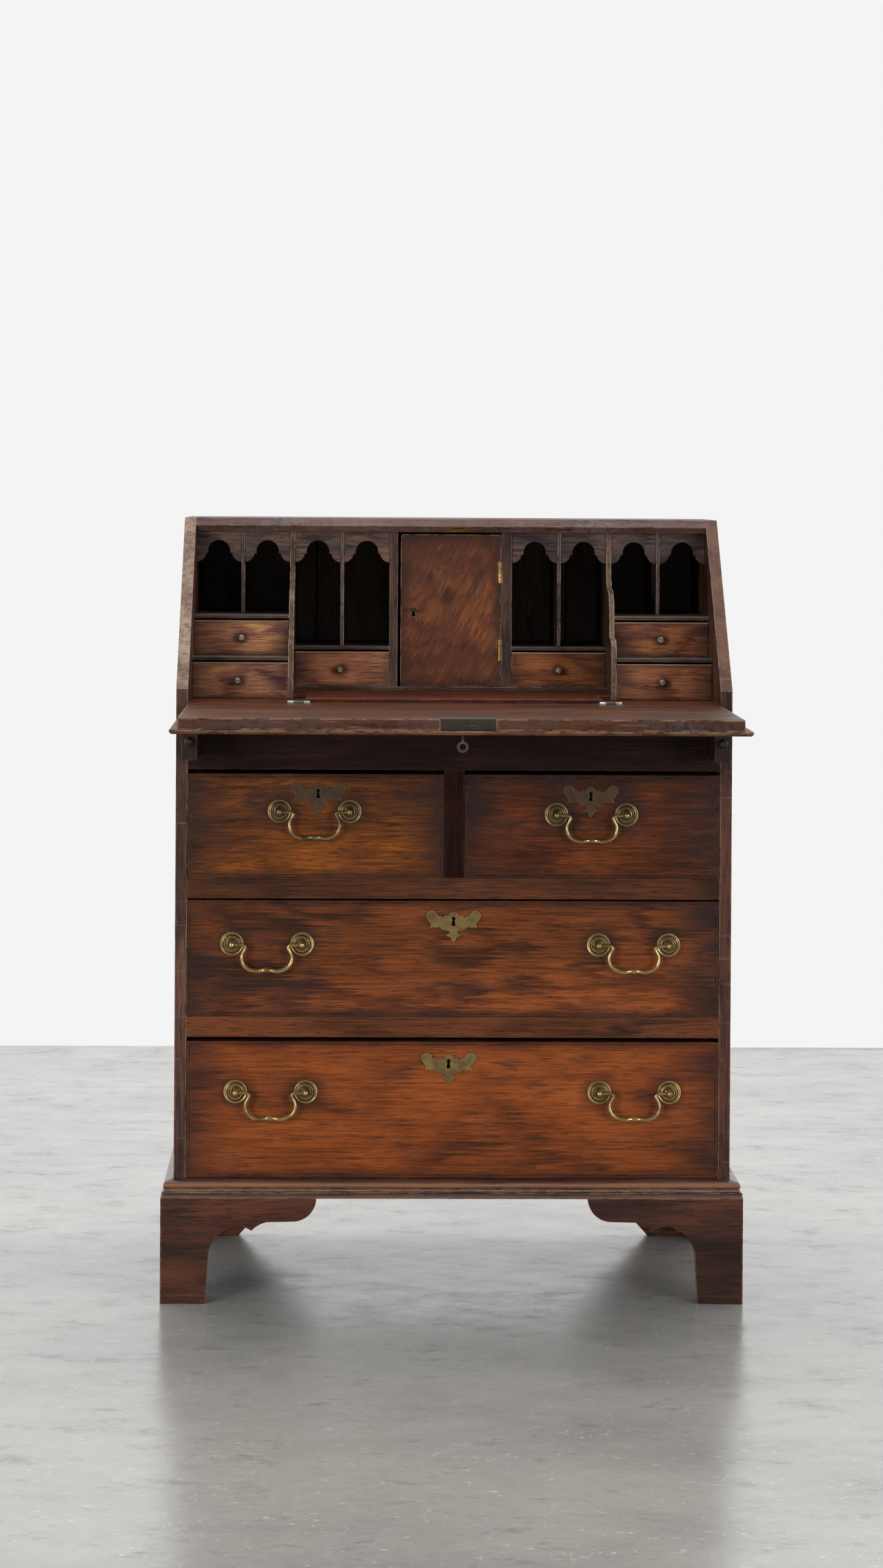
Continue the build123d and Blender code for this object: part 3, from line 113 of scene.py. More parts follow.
# %% Directions of the grain
DOOR_LEAN = 0.44                 # radians: the small door was sawn from a board whose figure leans
BOARD_SHIFT = (1.7, 0.31, 0.23)  # metres by which a seed of 1 moves a board through its tree
SIDEWAYS = 0.7                   # a face whose normal has more than this along X is on a side
GRAIN_TURN = {"X": (0, 0, 0), "Y": (0, 0, -math.pi / 2), "Z": (0, math.pi / 2, 0),
              "leaning": (0, math.pi / 2 - DOOR_LEAN, 0)}


def along_grain(tree, place, grain, seed):
    """Turns the coordinates so that X runs along the grain, and moves each board to its own wood.
    A round grain follows a moulding that goes along X at the front and along Y at the sides."""
    if grain == "round":
        parts = add(tree, "SeparateXYZ", place).node.outputs
        swapped = add(tree, "CombineXYZ", parts["Y"], parts["X"], parts["Z"])
        normal = add(tree, "NewGeometry").node.outputs["True Normal"]
        across = add(tree, "Math", add(tree, "SeparateXYZ", normal), operation="ABSOLUTE")
        on_side = add(tree, "Math", across, SIDEWAYS, operation="GREATER_THAN")
        turned = add(tree, "Mix", on_side, place, swapped, data_type="VECTOR")
    else:
        turned = add(tree, "Mapping", place, (0, 0, 0), GRAIN_TURN[grain])
    return add(tree, "VectorMath", turned, [seed * metres for metres in BOARD_SHIFT], operation="ADD")


print("the door's grain leans", round(math.degrees(DOOR_LEAN)), "degrees")

# %% [markdown]
# Every pattern of the wood is noise drawn out along the grain. Its size is given as waves in a metre,
# along and across, so 330 across is a width of 3 mm. A noise has smaller waves in it, each half as
# wide as the last, so the bundles of fibres hold fibres down to a tenth of a millimetre.

# %% Patterns along the grain
# Waves in a metre along the grain and across it, then how many smaller waves and how strong they are.
FIBRES = (9, 330, 5.0, 0.7)      # bundles of fibres, 3 mm wide and 110 mm long
PATCHES = (4, 11, 4.0, 0.5)      # changes of colour in a board, 90 mm wide
DASHES = (15, 110, 4.0, 0.6)     # dark flecks, 9 mm wide and 70 mm long
BENDS = (3, 6, 3.0, 0.5)         # the way the rings bend, 170 mm wide
STAINS = (17, 33, 6.0, 0.62)     # blotches of old wax, 30 mm wide
PORES = (45, 650, 2.0, 0.5)      # real pores are 0.3 mm wide, and are drawn at 1.5 mm so that they show
RUBS = (40, 120, 5.0, 0.75)      # breaks in a rubbed edge, 8 mm wide
SCRATCHES = (21, 420, 420)       # scratches 50 mm long: crests of waves 2.4 mm wide, coarser than real
MOTTLES = 110.0                  # mottles on a worn edge, 9 mm wide both ways
TARNISH = 300.0                  # tarnish on a small knob, 3 mm wide both ways


def streaks(tree, place, pattern, short=1.0):
    """The noise at (a s x, b y, b z), where a and b are the pattern's waves in a metre along and across,
    and s makes it shorter along the grain."""
    lengthways, across, detail, roughness = pattern
    stretched = add(tree, "VectorMath", place, (lengthways * short, across, across), operation="MULTIPLY")
    return add(tree, "TexNoise", stretched, 1.0, detail, roughness)


print("fibres", round(1 / FIBRES[1] / MM, 1), "mm wide, pores", round(1 / PORES[1] / MM, 1), "mm")

# %% [markdown]
# The figure. A sine of a slowly wandering height gives the arches that a flat-sawn board shows. On
# the real board each arch is broken up where fibres run through it, so the place is first pushed
# along the grain by the fibres themselves: this is what makes the ends of the dark tongues ragged.

# %% Figure
RINGS = 11.0                               # rings in a metre of height before they bend: one in 90 mm
FIBRE_PUSH = 0.035                         # metres by which a fibre pushes the arches along the grain
ARCH_LIGHT, ARCH_DARK = 0.16, -0.6         # tone between the arches and on them
PATCH_CONTRAST, PATCH_BASE = 1.4, -0.16    # noise of 0.5, its mean, gives 0.54: near the middle tone
FIBRE_LIGHT, DASH_DARK = 0.42, -0.28       # tone from dark to light fibres, and of a dark fleck


def figure(tree, along, contours, strength, short, fine):
    """How light the wood is at a point, from 0 to 1, with the fibres and the place that they have pushed.
    The tone is the sum of patches, fibres, flecks and arches, and an arch lies where
    sin(2 pi (11 z + contours n)) is high, n being the noise that bends the rings."""
    fibres = add(tree, "MapRange", streaks(tree, along, FIBRES, short), 0.38, 0.62)
    pushed = add(tree, "CombineXYZ", add(tree, "Math", fibres, FIBRE_PUSH / short, operation="MULTIPLY"))
    ragged = add(tree, "VectorMath", along, pushed, operation="ADD")
    height = add(tree, "SeparateXYZ", ragged).node.outputs["Z"]
    rise = add(tree, "Math", height, RINGS, operation="MULTIPLY")
    bends = streaks(tree, ragged, BENDS, short)
    turns = add(tree, "Math", bends, contours, rise, operation="MULTIPLY_ADD")
    wave = add(tree, "Math", add(tree, "Math", turns, 2 * math.pi, operation="MULTIPLY"), operation="SINE")
    arches = add(tree, "MapRange", wave, 0.2, 0.9, ARCH_LIGHT * strength, ARCH_DARK * strength)
    patches = streaks(tree, ragged, PATCHES, short)
    dashes = add(tree, "MapRange", streaks(tree, ragged, DASHES, short), 0.56, 0.68)
    tone = add(tree, "Math", patches, PATCH_CONTRAST, PATCH_BASE - FIBRE_LIGHT / 2 * fine,
               operation="MULTIPLY_ADD")
    tone = add(tree, "Math", fibres, FIBRE_LIGHT * fine, tone, operation="MULTIPLY_ADD")
    tone = add(tree, "Math", dashes, DASH_DARK * fine, tone, operation="MULTIPLY_ADD")
    return add(tree, "Math", tone, arches, operation="ADD"), fibres, ragged


print("rings", round(1 / RINGS / MM), "mm apart before they bend")

# %% [markdown]
# Grime and wear. Wax darkens in blotches. It gathers in a band along a panel's rim, wider at the ends
# than at the top and foot, and in a ring round each handle. Wear is the opposite: the Bevel node
# rounds the normal near an edge, and where the rounded normal leaves the true one, the wood is rubbed.

# %% Grime and wear
BAND_WANDER = 1.6                  # how far the stains move a band's inner side, in widths of the band
DARKEST_WAX = 0.8                  # the most that a band or ring hides the wood
WORN_FROM, WORN_FULL = 0.995, 0.9  # cosines of 6 and 26 degrees between the softened and the true normal


def grime(tree, place, stains, amount, rim, halos, halo_size):
    """The share of dark wax. rim is a panel's box and the width of its dark band along X and Z. A band
    fades with the gap to the nearest rim, and a ring with the distance to its handle's centre."""
    dirt = add(tree, "MapRange", stains, 0.58, 0.68, 0.0, amount)
    if rim:
        low, high, wide, tall = rim
        parts = add(tree, "SeparateXYZ", place).node.outputs
        gaps = []
        for axis, band in ((0, wide), (2, tall)):
            off = add(tree, "Math", parts[axis], (low[axis] + high[axis]) / 2, operation="SUBTRACT")
            off = add(tree, "Math", off, operation="ABSOLUTE")
            gaps.append(add(tree, "Math", off, -1 / band, (high[axis] - low[axis]) / 2 / band,
                            operation="MULTIPLY_ADD"))
        gap = add(tree, "Math", *gaps, operation="MINIMUM")
        gap = add(tree, "Math", gap, BAND_WANDER / 2, operation="ADD")
        gap = add(tree, "Math", stains, -BAND_WANDER, gap, operation="MULTIPLY_ADD")
        band = add(tree, "MapRange", gap, 0.0, 1.0, DARKEST_WAX, 0.0)
        dirt = add(tree, "Math", dirt, band, operation="MAXIMUM")
    for centre in halos:
        reach = add(tree, "VectorMath", place, centre, operation="DISTANCE")
        reach = add(tree, "Math", reach, halo_size / 2, operation="ADD")
        reach = add(tree, "Math", stains, -halo_size, reach, operation="MULTIPLY_ADD")
        ring = add(tree, "MapRange", reach, halo_size * 0.3, halo_size, DARKEST_WAX, 0.0)
        dirt = add(tree, "Math", dirt, ring, operation="MAXIMUM")
    return dirt


def wear(tree, along, amount, radius):
    """The share of bare wood along edges, broken up by a noise, and the softened normal that found it."""
    soft = add(tree, "Bevel", radius, samples=4)
    true = add(tree, "NewGeometry").node.outputs["Normal"]
    facing = add(tree, "VectorMath", soft, true, operation="DOT_PRODUCT")
    rubbed = add(tree, "MapRange", facing, WORN_FROM, WORN_FULL)
    broken = add(tree, "MapRange", streaks(tree, along, RUBS), 0.45, 0.53, 0.0, amount)
    return add(tree, "Math", rubbed, broken, operation="MULTIPLY"), soft


print("a rubbed edge starts", round(math.degrees(math.acos(WORN_FROM))), "degrees round its corner")

# %% [markdown]
# Some pieces need more. The back is four boards side by side, which one node holds, so their seams
# and their different wood are drawn. A moulding gets fine lines of wear and wax, of painted shade and
# of painted highlight. A slanted edge is given painted light where a level one is not, which its normal
# tells. Turned knobs share a node with their drawer, so a depth along Y tells the brass of the knob
# from the wood behind it.

# %% Seams, lines, worn faces, scratches and knobs
SEAM = 0.0012        # half the width of the dark seam between two boards, in metres
NEXT_BOARD = 3.1     # metres along the grain between the wood of one board and of the next


def side_by_side(tree, place, along, first, width, count):
    """Boards side by side along X from the first seam: the grain's coordinates with each board moved to
    its own wood, and the seams. With s = (x - first) / width, floor(s) is the board's number, and a seam
    is where s is further from the middle of its board than half a board less the seam's own share. The
    last board's outer edge has none."""
    share = add(tree, "Math", add(tree, "SeparateXYZ", place), 1 / width, -first / width,
                operation="MULTIPLY_ADD")
    board = add(tree, "CombineXYZ", add(tree, "Math", share, operation="FLOOR"))
    moved = add(tree, "VectorMath", board, (NEXT_BOARD, 0, 0), operation="MULTIPLY")
    off = add(tree, "Math", add(tree, "Math", share, 1.0, operation="MODULO"), 0.5, operation="SUBTRACT")
    seam = add(tree, "Math", add(tree, "Math", off, operation="ABSOLUTE"), 0.5 - SEAM / width,
               operation="GREATER_THAN")
    inside = add(tree, "Math", share, count - 0.5, operation="LESS_THAN")
    return (add(tree, "VectorMath", along, moved, operation="ADD"),
            add(tree, "Math", seam, inside, operation="MULTIPLY"))


def draw_line(tree, place, fibres, colour, height, width, tone):
    """A line of one tone at a height, with its half width. It fades between 0.5 and 1.4 times that, and
    the fibres narrow it by up to 0.8 times that, so that it doesn't look ruled."""
    off = add(tree, "Math", add(tree, "SeparateXYZ", place).node.outputs["Z"], height, operation="SUBTRACT")
    off = add(tree, "Math", off, operation="ABSOLUTE")
    off = add(tree, "Math", fibres, width * 0.8, off, operation="MULTIPLY_ADD")
    share = add(tree, "MapRange", off, width * 0.5, width * 1.4, 0.85, 0.0)
    return add(tree, "Mix", share, colour, tone, data_type="RGBA")


def wear_and_light_faces(tree, place, stains, colour, tone, lowest, highest):
    """Gives a tone to the faces that don't look along X and whose normal has a Z between two values: painted
    light on the sides' slopes, a painted reflection on the top's front edge, worn wood on the interior's
    front edges and a darker face on the fall's front. Stains and mottles leave some of the old colour."""
    normal = add(tree, "SeparateXYZ", add(tree, "NewGeometry").node.outputs["True Normal"]).node.outputs
    edge_on = add(tree, "Math", add(tree, "Math", normal["X"], operation="ABSOLUTE"), 0.5,
                  operation="LESS_THAN")
    turned = add(tree, "Math", normal["Z"], (lowest + highest) / 2, (highest - lowest) / 2,
                 operation="COMPARE")
    share = add(tree, "Math", edge_on, turned, operation="MULTIPLY")
    share = add(tree, "Math", share, add(tree, "MapRange", stains, 0.4, 0.6, 1.0, 0.25), operation="MULTIPLY")
    mottles = add(tree, "MapRange", add(tree, "TexNoise", place, MOTTLES, 4.0, 0.75), 0.47, 0.6, 1.0, 0.3)
    share = add(tree, "Math", share, mottles, operation="MULTIPLY")
    return add(tree, "Mix", share, colour, tone, data_type="RGBA")


def scratches(tree, place, amount):
    """The share of bare wood in scratches, which run slantwise over a board."""
    slanted = add(tree, "Mapping", place, (0, 0, 0), (0.2, 0.1, 0.35), SCRATCHES)
    return add(tree, "MapRange", add(tree, "TexNoise", slanted, 1.0, 2.0), 0.66, 0.74, 0.0, amount)


def turned_knob(tree, place, colour, depth, dull, bright):
    """Brass in front of a depth along Y: the colour, and the share of metal."""
    metal = add(tree, "Math", add(tree, "SeparateXYZ", place).node.outputs["Y"], depth, operation="LESS_THAN")
    tarnish = add(tree, "MapRange", add(tree, "TexNoise", place, TARNISH, 3.0, 0.6), 0.35, 0.65)
    brass = add(tree, "Mix", tarnish, dull, bright, data_type="RGBA")
    return (add(tree, "Mix", metal, colour, brass, data_type="RGBA"),
            add(tree, "Math", metal, 0.9, operation="MULTIPLY"))


print("seams", 2 * SEAM / MM, "mm wide")

# %% [markdown]
# The whole finish. Hard wax over oil gives a satin surface: roughness near 0.4, a little smoother
# where it is clean and duller where it is stained. The layers are put on as they came: wood, pores,
# grime with painted shade in the hollows, and last of all the wear, which takes the others off again.

# %% Wood finish
PORE_DARK = 0.55                # how much of a pore is the darkest wood
HOLLOW_DARK = 0.85              # the most that painted shade, standing also for wax dirt, darkens a hollow
CLEANER, DULLER = -0.07, 0.12   # roughness of clean and of stained wax against the material's own
RELIEF = 0.0004                 # height in metres of fibres and pores under the wax


def wood(name, grain, dark, mid, light, seed, worn="#8a5a3c", dirty="#1a0f0c", strength=0.4, contours=6.0,
         rim=None, halos=(), halo_size=0.032, rubbed=0.5, radius=0.0022, stained=0.7, scratched=0.0,
         ends=None, rough=0.4, coat=0.05, foot=None, knob=None, short=1.0, hollow=0.0, shine=0.22,
         fine=1.0, lines=(), boards=None):
    """Waxed oak in three tones, with the tones of bare and of dirty wood. strength and contours are how
    dark and how many the arches are, short makes them shorter, and fine is how much of the fibres shows.
    rim, halos and halo_size place the grime as in grime, and stained, rubbed and scratched say how much
    of each there is. radius is how far wear reaches from an edge, and hollow how far off a wall painted
    shade darkens wood, standing also for the wax dirt in its corners. foot is a panel's top and bottom, how
    much its wood lightens downwards as painted shade on its upper part, and how much its stains grow
    downwards.
    ends is a tone and two slopes as in wear_and_light_faces. knob is the depth in front of which the piece is
    a brass knob, and the knob's two tones. lines are heights, each with a half width and a tone, and boards
    is the first seam, the width and the count of boards that stand side by side."""
    material, tree, shader, output = new_material(name)
    place = add(tree, "TexCoord").node.outputs["Object"]
    along = along_grain(tree, place, grain, seed)
    if boards:
        along, seams = side_by_side(tree, place, along, *boards)
    tone, fibres, ragged = figure(tree, along, contours, strength, short, fine)
    stains = streaks(tree, ragged, STAINS)
    # Painted shade: a panel's wood is darker at its top and lightens downwards.
    if foot:
        lower = add(tree, "MapRange", add(tree, "SeparateXYZ", place).node.outputs["Z"], *foot[:2], -0.5, 0.5)
        tone = add(tree, "Math", lower, foot[2], tone, operation="MULTIPLY_ADD")
        stains = add(tree, "Math", lower, foot[3], stains, operation="MULTIPLY_ADD")
    ramp = add(tree, "ValToRGB", tone)
    stops = ramp.node.color_ramp.elements
    stops[0].color, stops[1].color = linear(dark), linear(light)
    stops.new(0.5).color = linear(mid)
    pores = streaks(tree, along, PORES)
    ink = add(tree, "MapRange", pores, 0.55, 0.64, 0.0, PORE_DARK)
    colour = add(tree, "Mix", ink, ramp, dark, data_type="RGBA")
    dirt = grime(tree, place, stains, stained, rim, halos, halo_size)
    # Painted shade: ambient occlusion darkens wood in hollows and corners, where wax dirt also sits.
    if hollow:
        open_sky = add(tree, "AmbientOcclusion", None, hollow, samples=6).node.outputs["AO"]
        dirt = add(tree, "Math", dirt, add(tree, "MapRange", open_sky, 0.8, 0.45, 0.0, HOLLOW_DARK),
                   operation="MAXIMUM")
    if boards:
        dirt = add(tree, "Math", dirt, seams, operation="MAXIMUM")
    colour = add(tree, "Mix", dirt, colour, dirty, data_type="RGBA")
    for line in lines:
        colour = draw_line(tree, place, fibres, colour, *line)
    if ends:
        colour = wear_and_light_faces(tree, place, stains, colour, *ends)
    bare, soft = wear(tree, along, rubbed, radius)
    if scratched:
        bare = add(tree, "Math", bare, scratches(tree, place, scratched), operation="MAXIMUM")
    colour = add(tree, "Mix", bare, colour, worn, data_type="RGBA")
    if knob:
        colour, metal = turned_knob(tree, place, colour, *knob)
        tree.links.new(metal, shader["Metallic"])
    gloss = add(tree, "MapRange", stains, 0.3, 0.75, rough + CLEANER, rough + DULLER)
    depth = add(tree, "Math", pores, -0.6, fibres, operation="MULTIPLY_ADD")
    tree.links.new(colour, shader["Base Color"])
    tree.links.new(gloss, shader["Roughness"])
    tree.links.new(add(tree, "Bump", 0.25, RELIEF, None, depth, soft), shader["Normal"])
    shader["Coat Weight"].default_value = coat
    shader["Coat Roughness"].default_value = 0.25
    shader["Specular IOR Level"].default_value = shine
    return material


print("wood is ready")

# %% [markdown]
# ## Drawer fronts
# The four large fronts are the warmest wood on the desk: orange where cloths reach, almost black
# along the rims and round the handles, where wax and dust have set. The low ones are brighter, and
# painted shade darkens the upper part of the top and middle ones.

# %% Large drawer fronts
# Flat-sawn oak, hand-planed and waxed, gives tall ragged arches with dark rims. Each front has its dark,
# middle and light wood, its place in the tree, how strong and how many its arches are, how short they
# are, how much its wood lightens downwards as painted shade on its upper part, and how much its
# stains grow downwards.
LARGE = {
    "top_left_drawer": ("#361907", "#6c3a0f", "#a55719", 0.3, 0.15, 4.0, 2.0, 0.34, -0.06),
    "top_right_drawer": ("#230e04", "#4c2209", "#7d3d13", 1.1, 0.15, 4.0, 2.0, 0.34, -0.06),
    "middle_drawer": ("#371c0c", "#6e3817", "#9c5122", 2.3, 0.55, 9.0, 1.0, 0.34, 0.07),
    "bottom_drawer": ("#4c260e", "#8a4419", "#a95a26", 3.7, 0.3, 5.0, 1.2, 0, 0),
}
ROSE_DROP = 0.0023               # the roses' centres lie this far below the top of a bail
LARGE_BAND = (0.07, 0.013)       # widths of the dark bands at the ends, and at the top and foot
centres = {}
for name, (dark, mid, light, seed, strength, contours, short, painted_shade_lift, dirtier) in LARGE.items():
    low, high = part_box(name + "_front")
    centres[name] = []
    for bail_low, bail_high in [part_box(node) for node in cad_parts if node.startswith(name + "_bail")]:
        centres[name] += [(x, low.y, bail_high.z - ROSE_DROP) for x in (bail_low.x, bail_high.x)]
    # hollow paints shade into the quirk of each front's bead.
    front = wood("waxed_oak_" + name, "X", dark, mid, light, seed, strength=strength, contours=contours,
                 short=short, foot=(high.z, low.z, painted_shade_lift, dirtier), rim=(low, high, *LARGE_BAND),
                 halos=centres[name], rubbed=0.3, radius=0.0014, hollow=0.003, worn="#a06a44",
                 dirty="#231719")
    dress(front, name + "_front")
print(len(LARGE), "large fronts,", sum(map(len, centres.values())), "roses")

# %% [markdown]
# The small drawers inside have the same wood, but fingers have polished them: their rims are narrow,
# their top edges pale, and each has a small turned brass knob with its own ring of grime.

# %% Small drawers and the cupboard door
# Oak fronts, hand-planed and waxed: dark, middle and light wood, and the place in the tree.
SMALL = {
    "lower_outer_drawer_left": ("#5b3634", "#ab7454", "#e0a66e", 5.2),
    "lower_outer_drawer_right": ("#472624", "#885438", "#b87a50", 6.9),
    "upper_outer_drawer_left": ("#5b3234", "#ab7455", "#dea36a", 8.1),
    "upper_outer_drawer_right": ("#422122", "#824e33", "#bb7a48", 9.4),
    "inner_drawer_left": ("#653636", "#b67454", "#d29e62", 10.6),
    "inner_drawer_right": ("#401e1e", "#7d4727", "#ac6a3b", 11.8),
}
KNOB_REACH = 0.0125                  # a small knob stands this far in front of its drawer
KNOB_FOOT = 0.0002                   # and is brass up to this close to it
TOP_EDGE = (0.0008, 0.001)           # the pale line under a front's top: its depth and half width
SMALL_BAND, DOOR_BAND = (0.034, 0.007), (0.018, 0.018)
for name, (dark, mid, light, seed) in SMALL.items():
    low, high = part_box(name)
    front_face = low.y + KNOB_REACH
    middle = ((low.x + high.x) / 2, front_face, (low.z + high.z) / 2)
    front = wood("waxed_oak_" + name, "X", dark, mid, light, seed, short=1.5, fine=0.8,
                 rim=(low, high, *SMALL_BAND), halos=[middle], halo_size=0.012, stained=0.85,
                 rubbed=0.9, worn="#b98a62", dirty="#2e1c1e",
                 lines=[(high.z - TOP_EDGE[0], TOP_EDGE[1], "#a3866a")],
                 knob=(front_face - KNOB_FOOT, "#5f544b", "#a8988a"))
    dress(front, name)
# Flat-sawn oak, waxed: its steep short arches make the door the liveliest panel.
low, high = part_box("cupboard_door")
door = wood("waxed_oak_door", "leaning", "#4e2c1e", "#683b26", "#93572f", 13.1, strength=0.35,
            contours=9.0, short=3.5, rim=(low, high, *DOOR_BAND), rubbed=1.0, worn="#c09a76",
            dirty="#2e1d19")
dress(door, "cupboard_door")
print(len(SMALL), "small drawers and the door")

# %% [markdown]
# ## Carcass
# The frame of the desk is darker than its drawers. The sides' slanted edges are painted paler than
# the upright edges below, as painted light from above: a dusty khaki on the left, where the light is
# stronger, and brown on the right.

# %% Rails and base moulding
# Oak rails, planed and waxed: dark strips between the drawers, with painted shade that makes the
# upper ones darker than the lower.
rails_low, rails_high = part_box("drawer_rails")
dress(wood("dark_oak_rails", "X", "#2c1609", "#5a3018", "#7a4224", 20.0, rubbed=0.6,
           foot=(rails_high.z, rails_low.z, 0.5, 0)), "drawer_rails")
# The moulding's bands as shares of its height, with a half width and a tone: painted shadow in the
# joint on top, the bead polished by feet and brooms, painted shade with dark wax in the quirk under it,
# a painted highlight on its lower arris, painted shade with dark wax in the hollow under that, and a
# painted highlight on the arris at the foot.
MOULDING_WEAR_SHADE_AND_HIGHLIGHTS = ((1.0, 0.0012, "#180d09"), (0.72, 0.0034, "#9c6844"), (0.53, 0.0014, "#24140f"),
                  (0.43, 0.0011, "#7e6a5a"), (0.27, 0.003, "#2a1b17"), (0.07, 0.0011, "#6e5c4e"))
low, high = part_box("base_moulding")
moulding_wear_shade_and_highlights = [(low.z + share * (high.z - low.z), width, tone) for share, width, tone in MOULDING_WEAR_SHADE_AND_HIGHLIGHTS]
# Oak run to its shape with a scraper and waxed thickly: glossier than the boards, with long streaks.
dress(wood("oak_base_moulding", "round", "#2c1b1b", "#553b35", "#825b4a", 20.5, rubbed=0.9,
           worn="#c2905e", radius=0.0026, strength=0.1, fine=0.7, shine=0.5, coat=0.2, rough=0.32,
           lines=moulding_wear_shade_and_highlights), "base_moulding")
print("rails and", len(moulding_wear_shade_and_highlights), "bands on the moulding")

# %% Divider, frieze, feet, sides, lopers and top
# Oak between the drawers, waxed and hardly touched: almost black.
dress(wood("dark_oak_divider", "Z", "#110100", "#1e0702", "#2f0e04", 21.0, rubbed=0.4, shine=0.1),
      "drawer_divider")
# Oak under the writing board, waxed, always in its shade: dark and dull.
dress(wood("dark_oak_frieze", "X", "#16090b", "#241512", "#351f1d", 22.0, rubbed=0.3, shine=0.1),
      "frieze_board", "bottom_boards")
# Oak feet, sawn to shape and waxed: scuffed to a red brown at their edges, and dark in their corners
# with grime and painted shade.
dress(wood("dark_oak_feet", "round", "#1a0f0e", "#462b21", "#804630", 23.0, rubbed=0.9, worn="#9a5a40",
           strength=0.2, fine=0.35, contours=3.0, hollow=0.004), "front_feet", "rear_feet")
# Wide oak sides, planed and waxed: streaks run up them. Each has its dark, middle and light wood, and
# the tone of its slanted edge, a painted light that is paler on the left, where the light is stronger.
# The lopers are oak, rubbed black by the wood they slide in, each with a turned knob of blackened brass.
SIDES = {"left": ("#2c1c19", "#583b32", "#7e5848", "#a38b74"),
         "right": ("#22130f", "#472b22", "#673f30", "#6e4327")}
SLANTED = (0.3, 0.97)    # slopes of the edges that get the painted light, as the Z of their normals
LOPER_KNOB = 0.013       # a loper's knob stands this far in front of it
for side, (dark, mid, light, painted_slant_light) in SIDES.items():
    dress(wood("oak_side_" + side, "Z", dark, mid, light, 24.0, rubbed=0.75, radius=0.0024, worn="#bfa282",
               ends=(painted_slant_light, *SLANTED), scratched=0.2), "side_" + side)
    dress(wood("oak_loper_" + side, "Y", "#150c0a", "#2b1a15", "#402a22", 25.0,
               knob=(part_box("loper_" + side)[0].y + LOPER_KNOB, "#2c2622", "#4a4138")), "loper_" + side)
# An oak top, planed and waxed: its front edge is painted grey, a painted reflection of the white wall.
dress(wood("oak_top", "X", "#2f1a14", "#553129", "#825443", 26.0, rubbed=0.9, worn="#a08a70", coat=0.0,
           rough=0.42, ends=("#6c5954", -0.7, 0.97)), "top_board")
print("carcass and", len(SIDES), "lopers")

# %% [markdown]
# ## Writing surfaces
# The fall, the writing board and the well's sliding cover are one surface when the desk is open. It
# is the most used, so it is scratched by pens and seals, and its edge is rubbed pale.

# %% Fall, writing board and sliding cover
# An oak board, waxed, then polished by sleeves: reddish and satin, pale along its moulded lip, and
# darkened by painted shade in its hollows.
dress(wood("polished_oak_fall", "X", "#2d1604", "#562b0e", "#78421c", 27.0, strength=0.3, rubbed=1.0,
           worn="#c49a74", coat=0.0, rough=0.42, hollow=0.004, scratched=0.35, radius=0.0034,
           ends=("#524340", -0.6, 0.6), shine=0.16), "fall_board")
# The same oak further in, where it keeps its red: fine scratches, and no wear but at the edges.
dress(wood("polished_oak_writing", "X", "#280e03", "#4f1f07", "#702f0e", 28.0, strength=0.3, coat=0.0,
           rough=0.42, scratched=0.3, worn="#c08a62"), "writing_board", "well_slide", "well_guides")
print("fall, writing board, cover and guides")

# %% [markdown]
# ## Interior
# Behind the fall stand thin boards that no cloth gets round: dusty, greyer than the rest, and rubbed
# only on their front edges. A normal's Z lies between -1 and 1, so slopes of -2 to 2 take them whole.

# %% Interior
EVERY_SLOPE = (-2.0, 2.0)
# Thin oak partitions, planed and waxed: their stepped front edges are worn to bare wood.
dress(wood("oak_partitions", "Z", "#241712", "#483428", "#6c5040", 30.0, rubbed=1.0, worn="#e0c4a0",
           ends=("#7d6754", *EVERY_SLOPE)), "stepped_partitions")
# Oak dividers, planed thin and waxed once: grey faces and pale edges.
dress(wood("oak_dividers", "Z", "#201512", "#40302a", "#5c483e", 31.0, rubbed=1.0, worn="#b7a08c",
           ends=("#63564f", *EVERY_SLOPE)), "pigeonhole_dividers")
# Oak stiles beside the door, planed and waxed: brown, with a touch of wear.
dress(wood("oak_stiles", "Z", "#281815", "#4a342e", "#644a40", 31.5, rubbed=0.8, worn="#a08a78"),
      "cupboard_stiles")
# Oak shelves with a rounded front, planed and waxed: greyish, and rubbed along that front.
dress(wood("oak_shelves", "X", "#221816", "#463632", "#645048", 32.0, rubbed=0.8, worn="#a09080"),
      "interior_shelves")
# Oak valances, fretted with a thin saw and waxed: short streaks, a little warmer than the shelves.
dress(wood("oak_valances", "X", "#2a2022", "#524542", "#84604a", 33.0, rubbed=0.3, short=2.0),
      "pigeonhole_valances")
print("interior")

# %% [markdown]
# ## Hidden wood
# What nobody was meant to see was planed once and never waxed. It is paler and quite dull.

# %% Hidden wood
# Sawn oak, roughly planed: dry and dusty.
dress(wood("plain_oak_boards", "X", "#6b4c33", "#93704d", "#ab8a62", 40.0, rubbed=0.3, rough=0.6, coat=0.0,
           dirty="#3a2a1e", worn="#b99a73"), "dust_boards", "drawer_stops")
# Oak back boards, riven and roughly planed: grey, with a dark seam wherever two meet.
BACK_BOARDS = 4
LAP = 0.008              # metres by which the half laps move the seams that show
low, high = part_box("back_boards")
dress(wood("plain_oak_back", "Z", "#6e625a", "#948578", "#b3a597", 41.0, rubbed=0.3, rough=0.62, coat=0.0,
           strength=0.2, fine=0.6, dirty="#1e1510", worn="#7a6040",
           boards=(low.x - LAP, (high.x - low.x) / BACK_BOARDS, BACK_BOARDS)), "back_boards")
# Thin oak linings, planed and left bare: honey brown, polished only by running in and out.
dress(wood("plain_oak_linings", "Y", "#7a5a3c", "#a07c53", "#b8946a", 42.0, rubbed=0.3, rough=0.6, coat=0.0,
           dirty="#3f2d20", worn="#c4a57c"), "loper_guides", *[name + "_box" for name in LARGE])
print("hidden wood, with", BACK_BOARDS, "back boards")

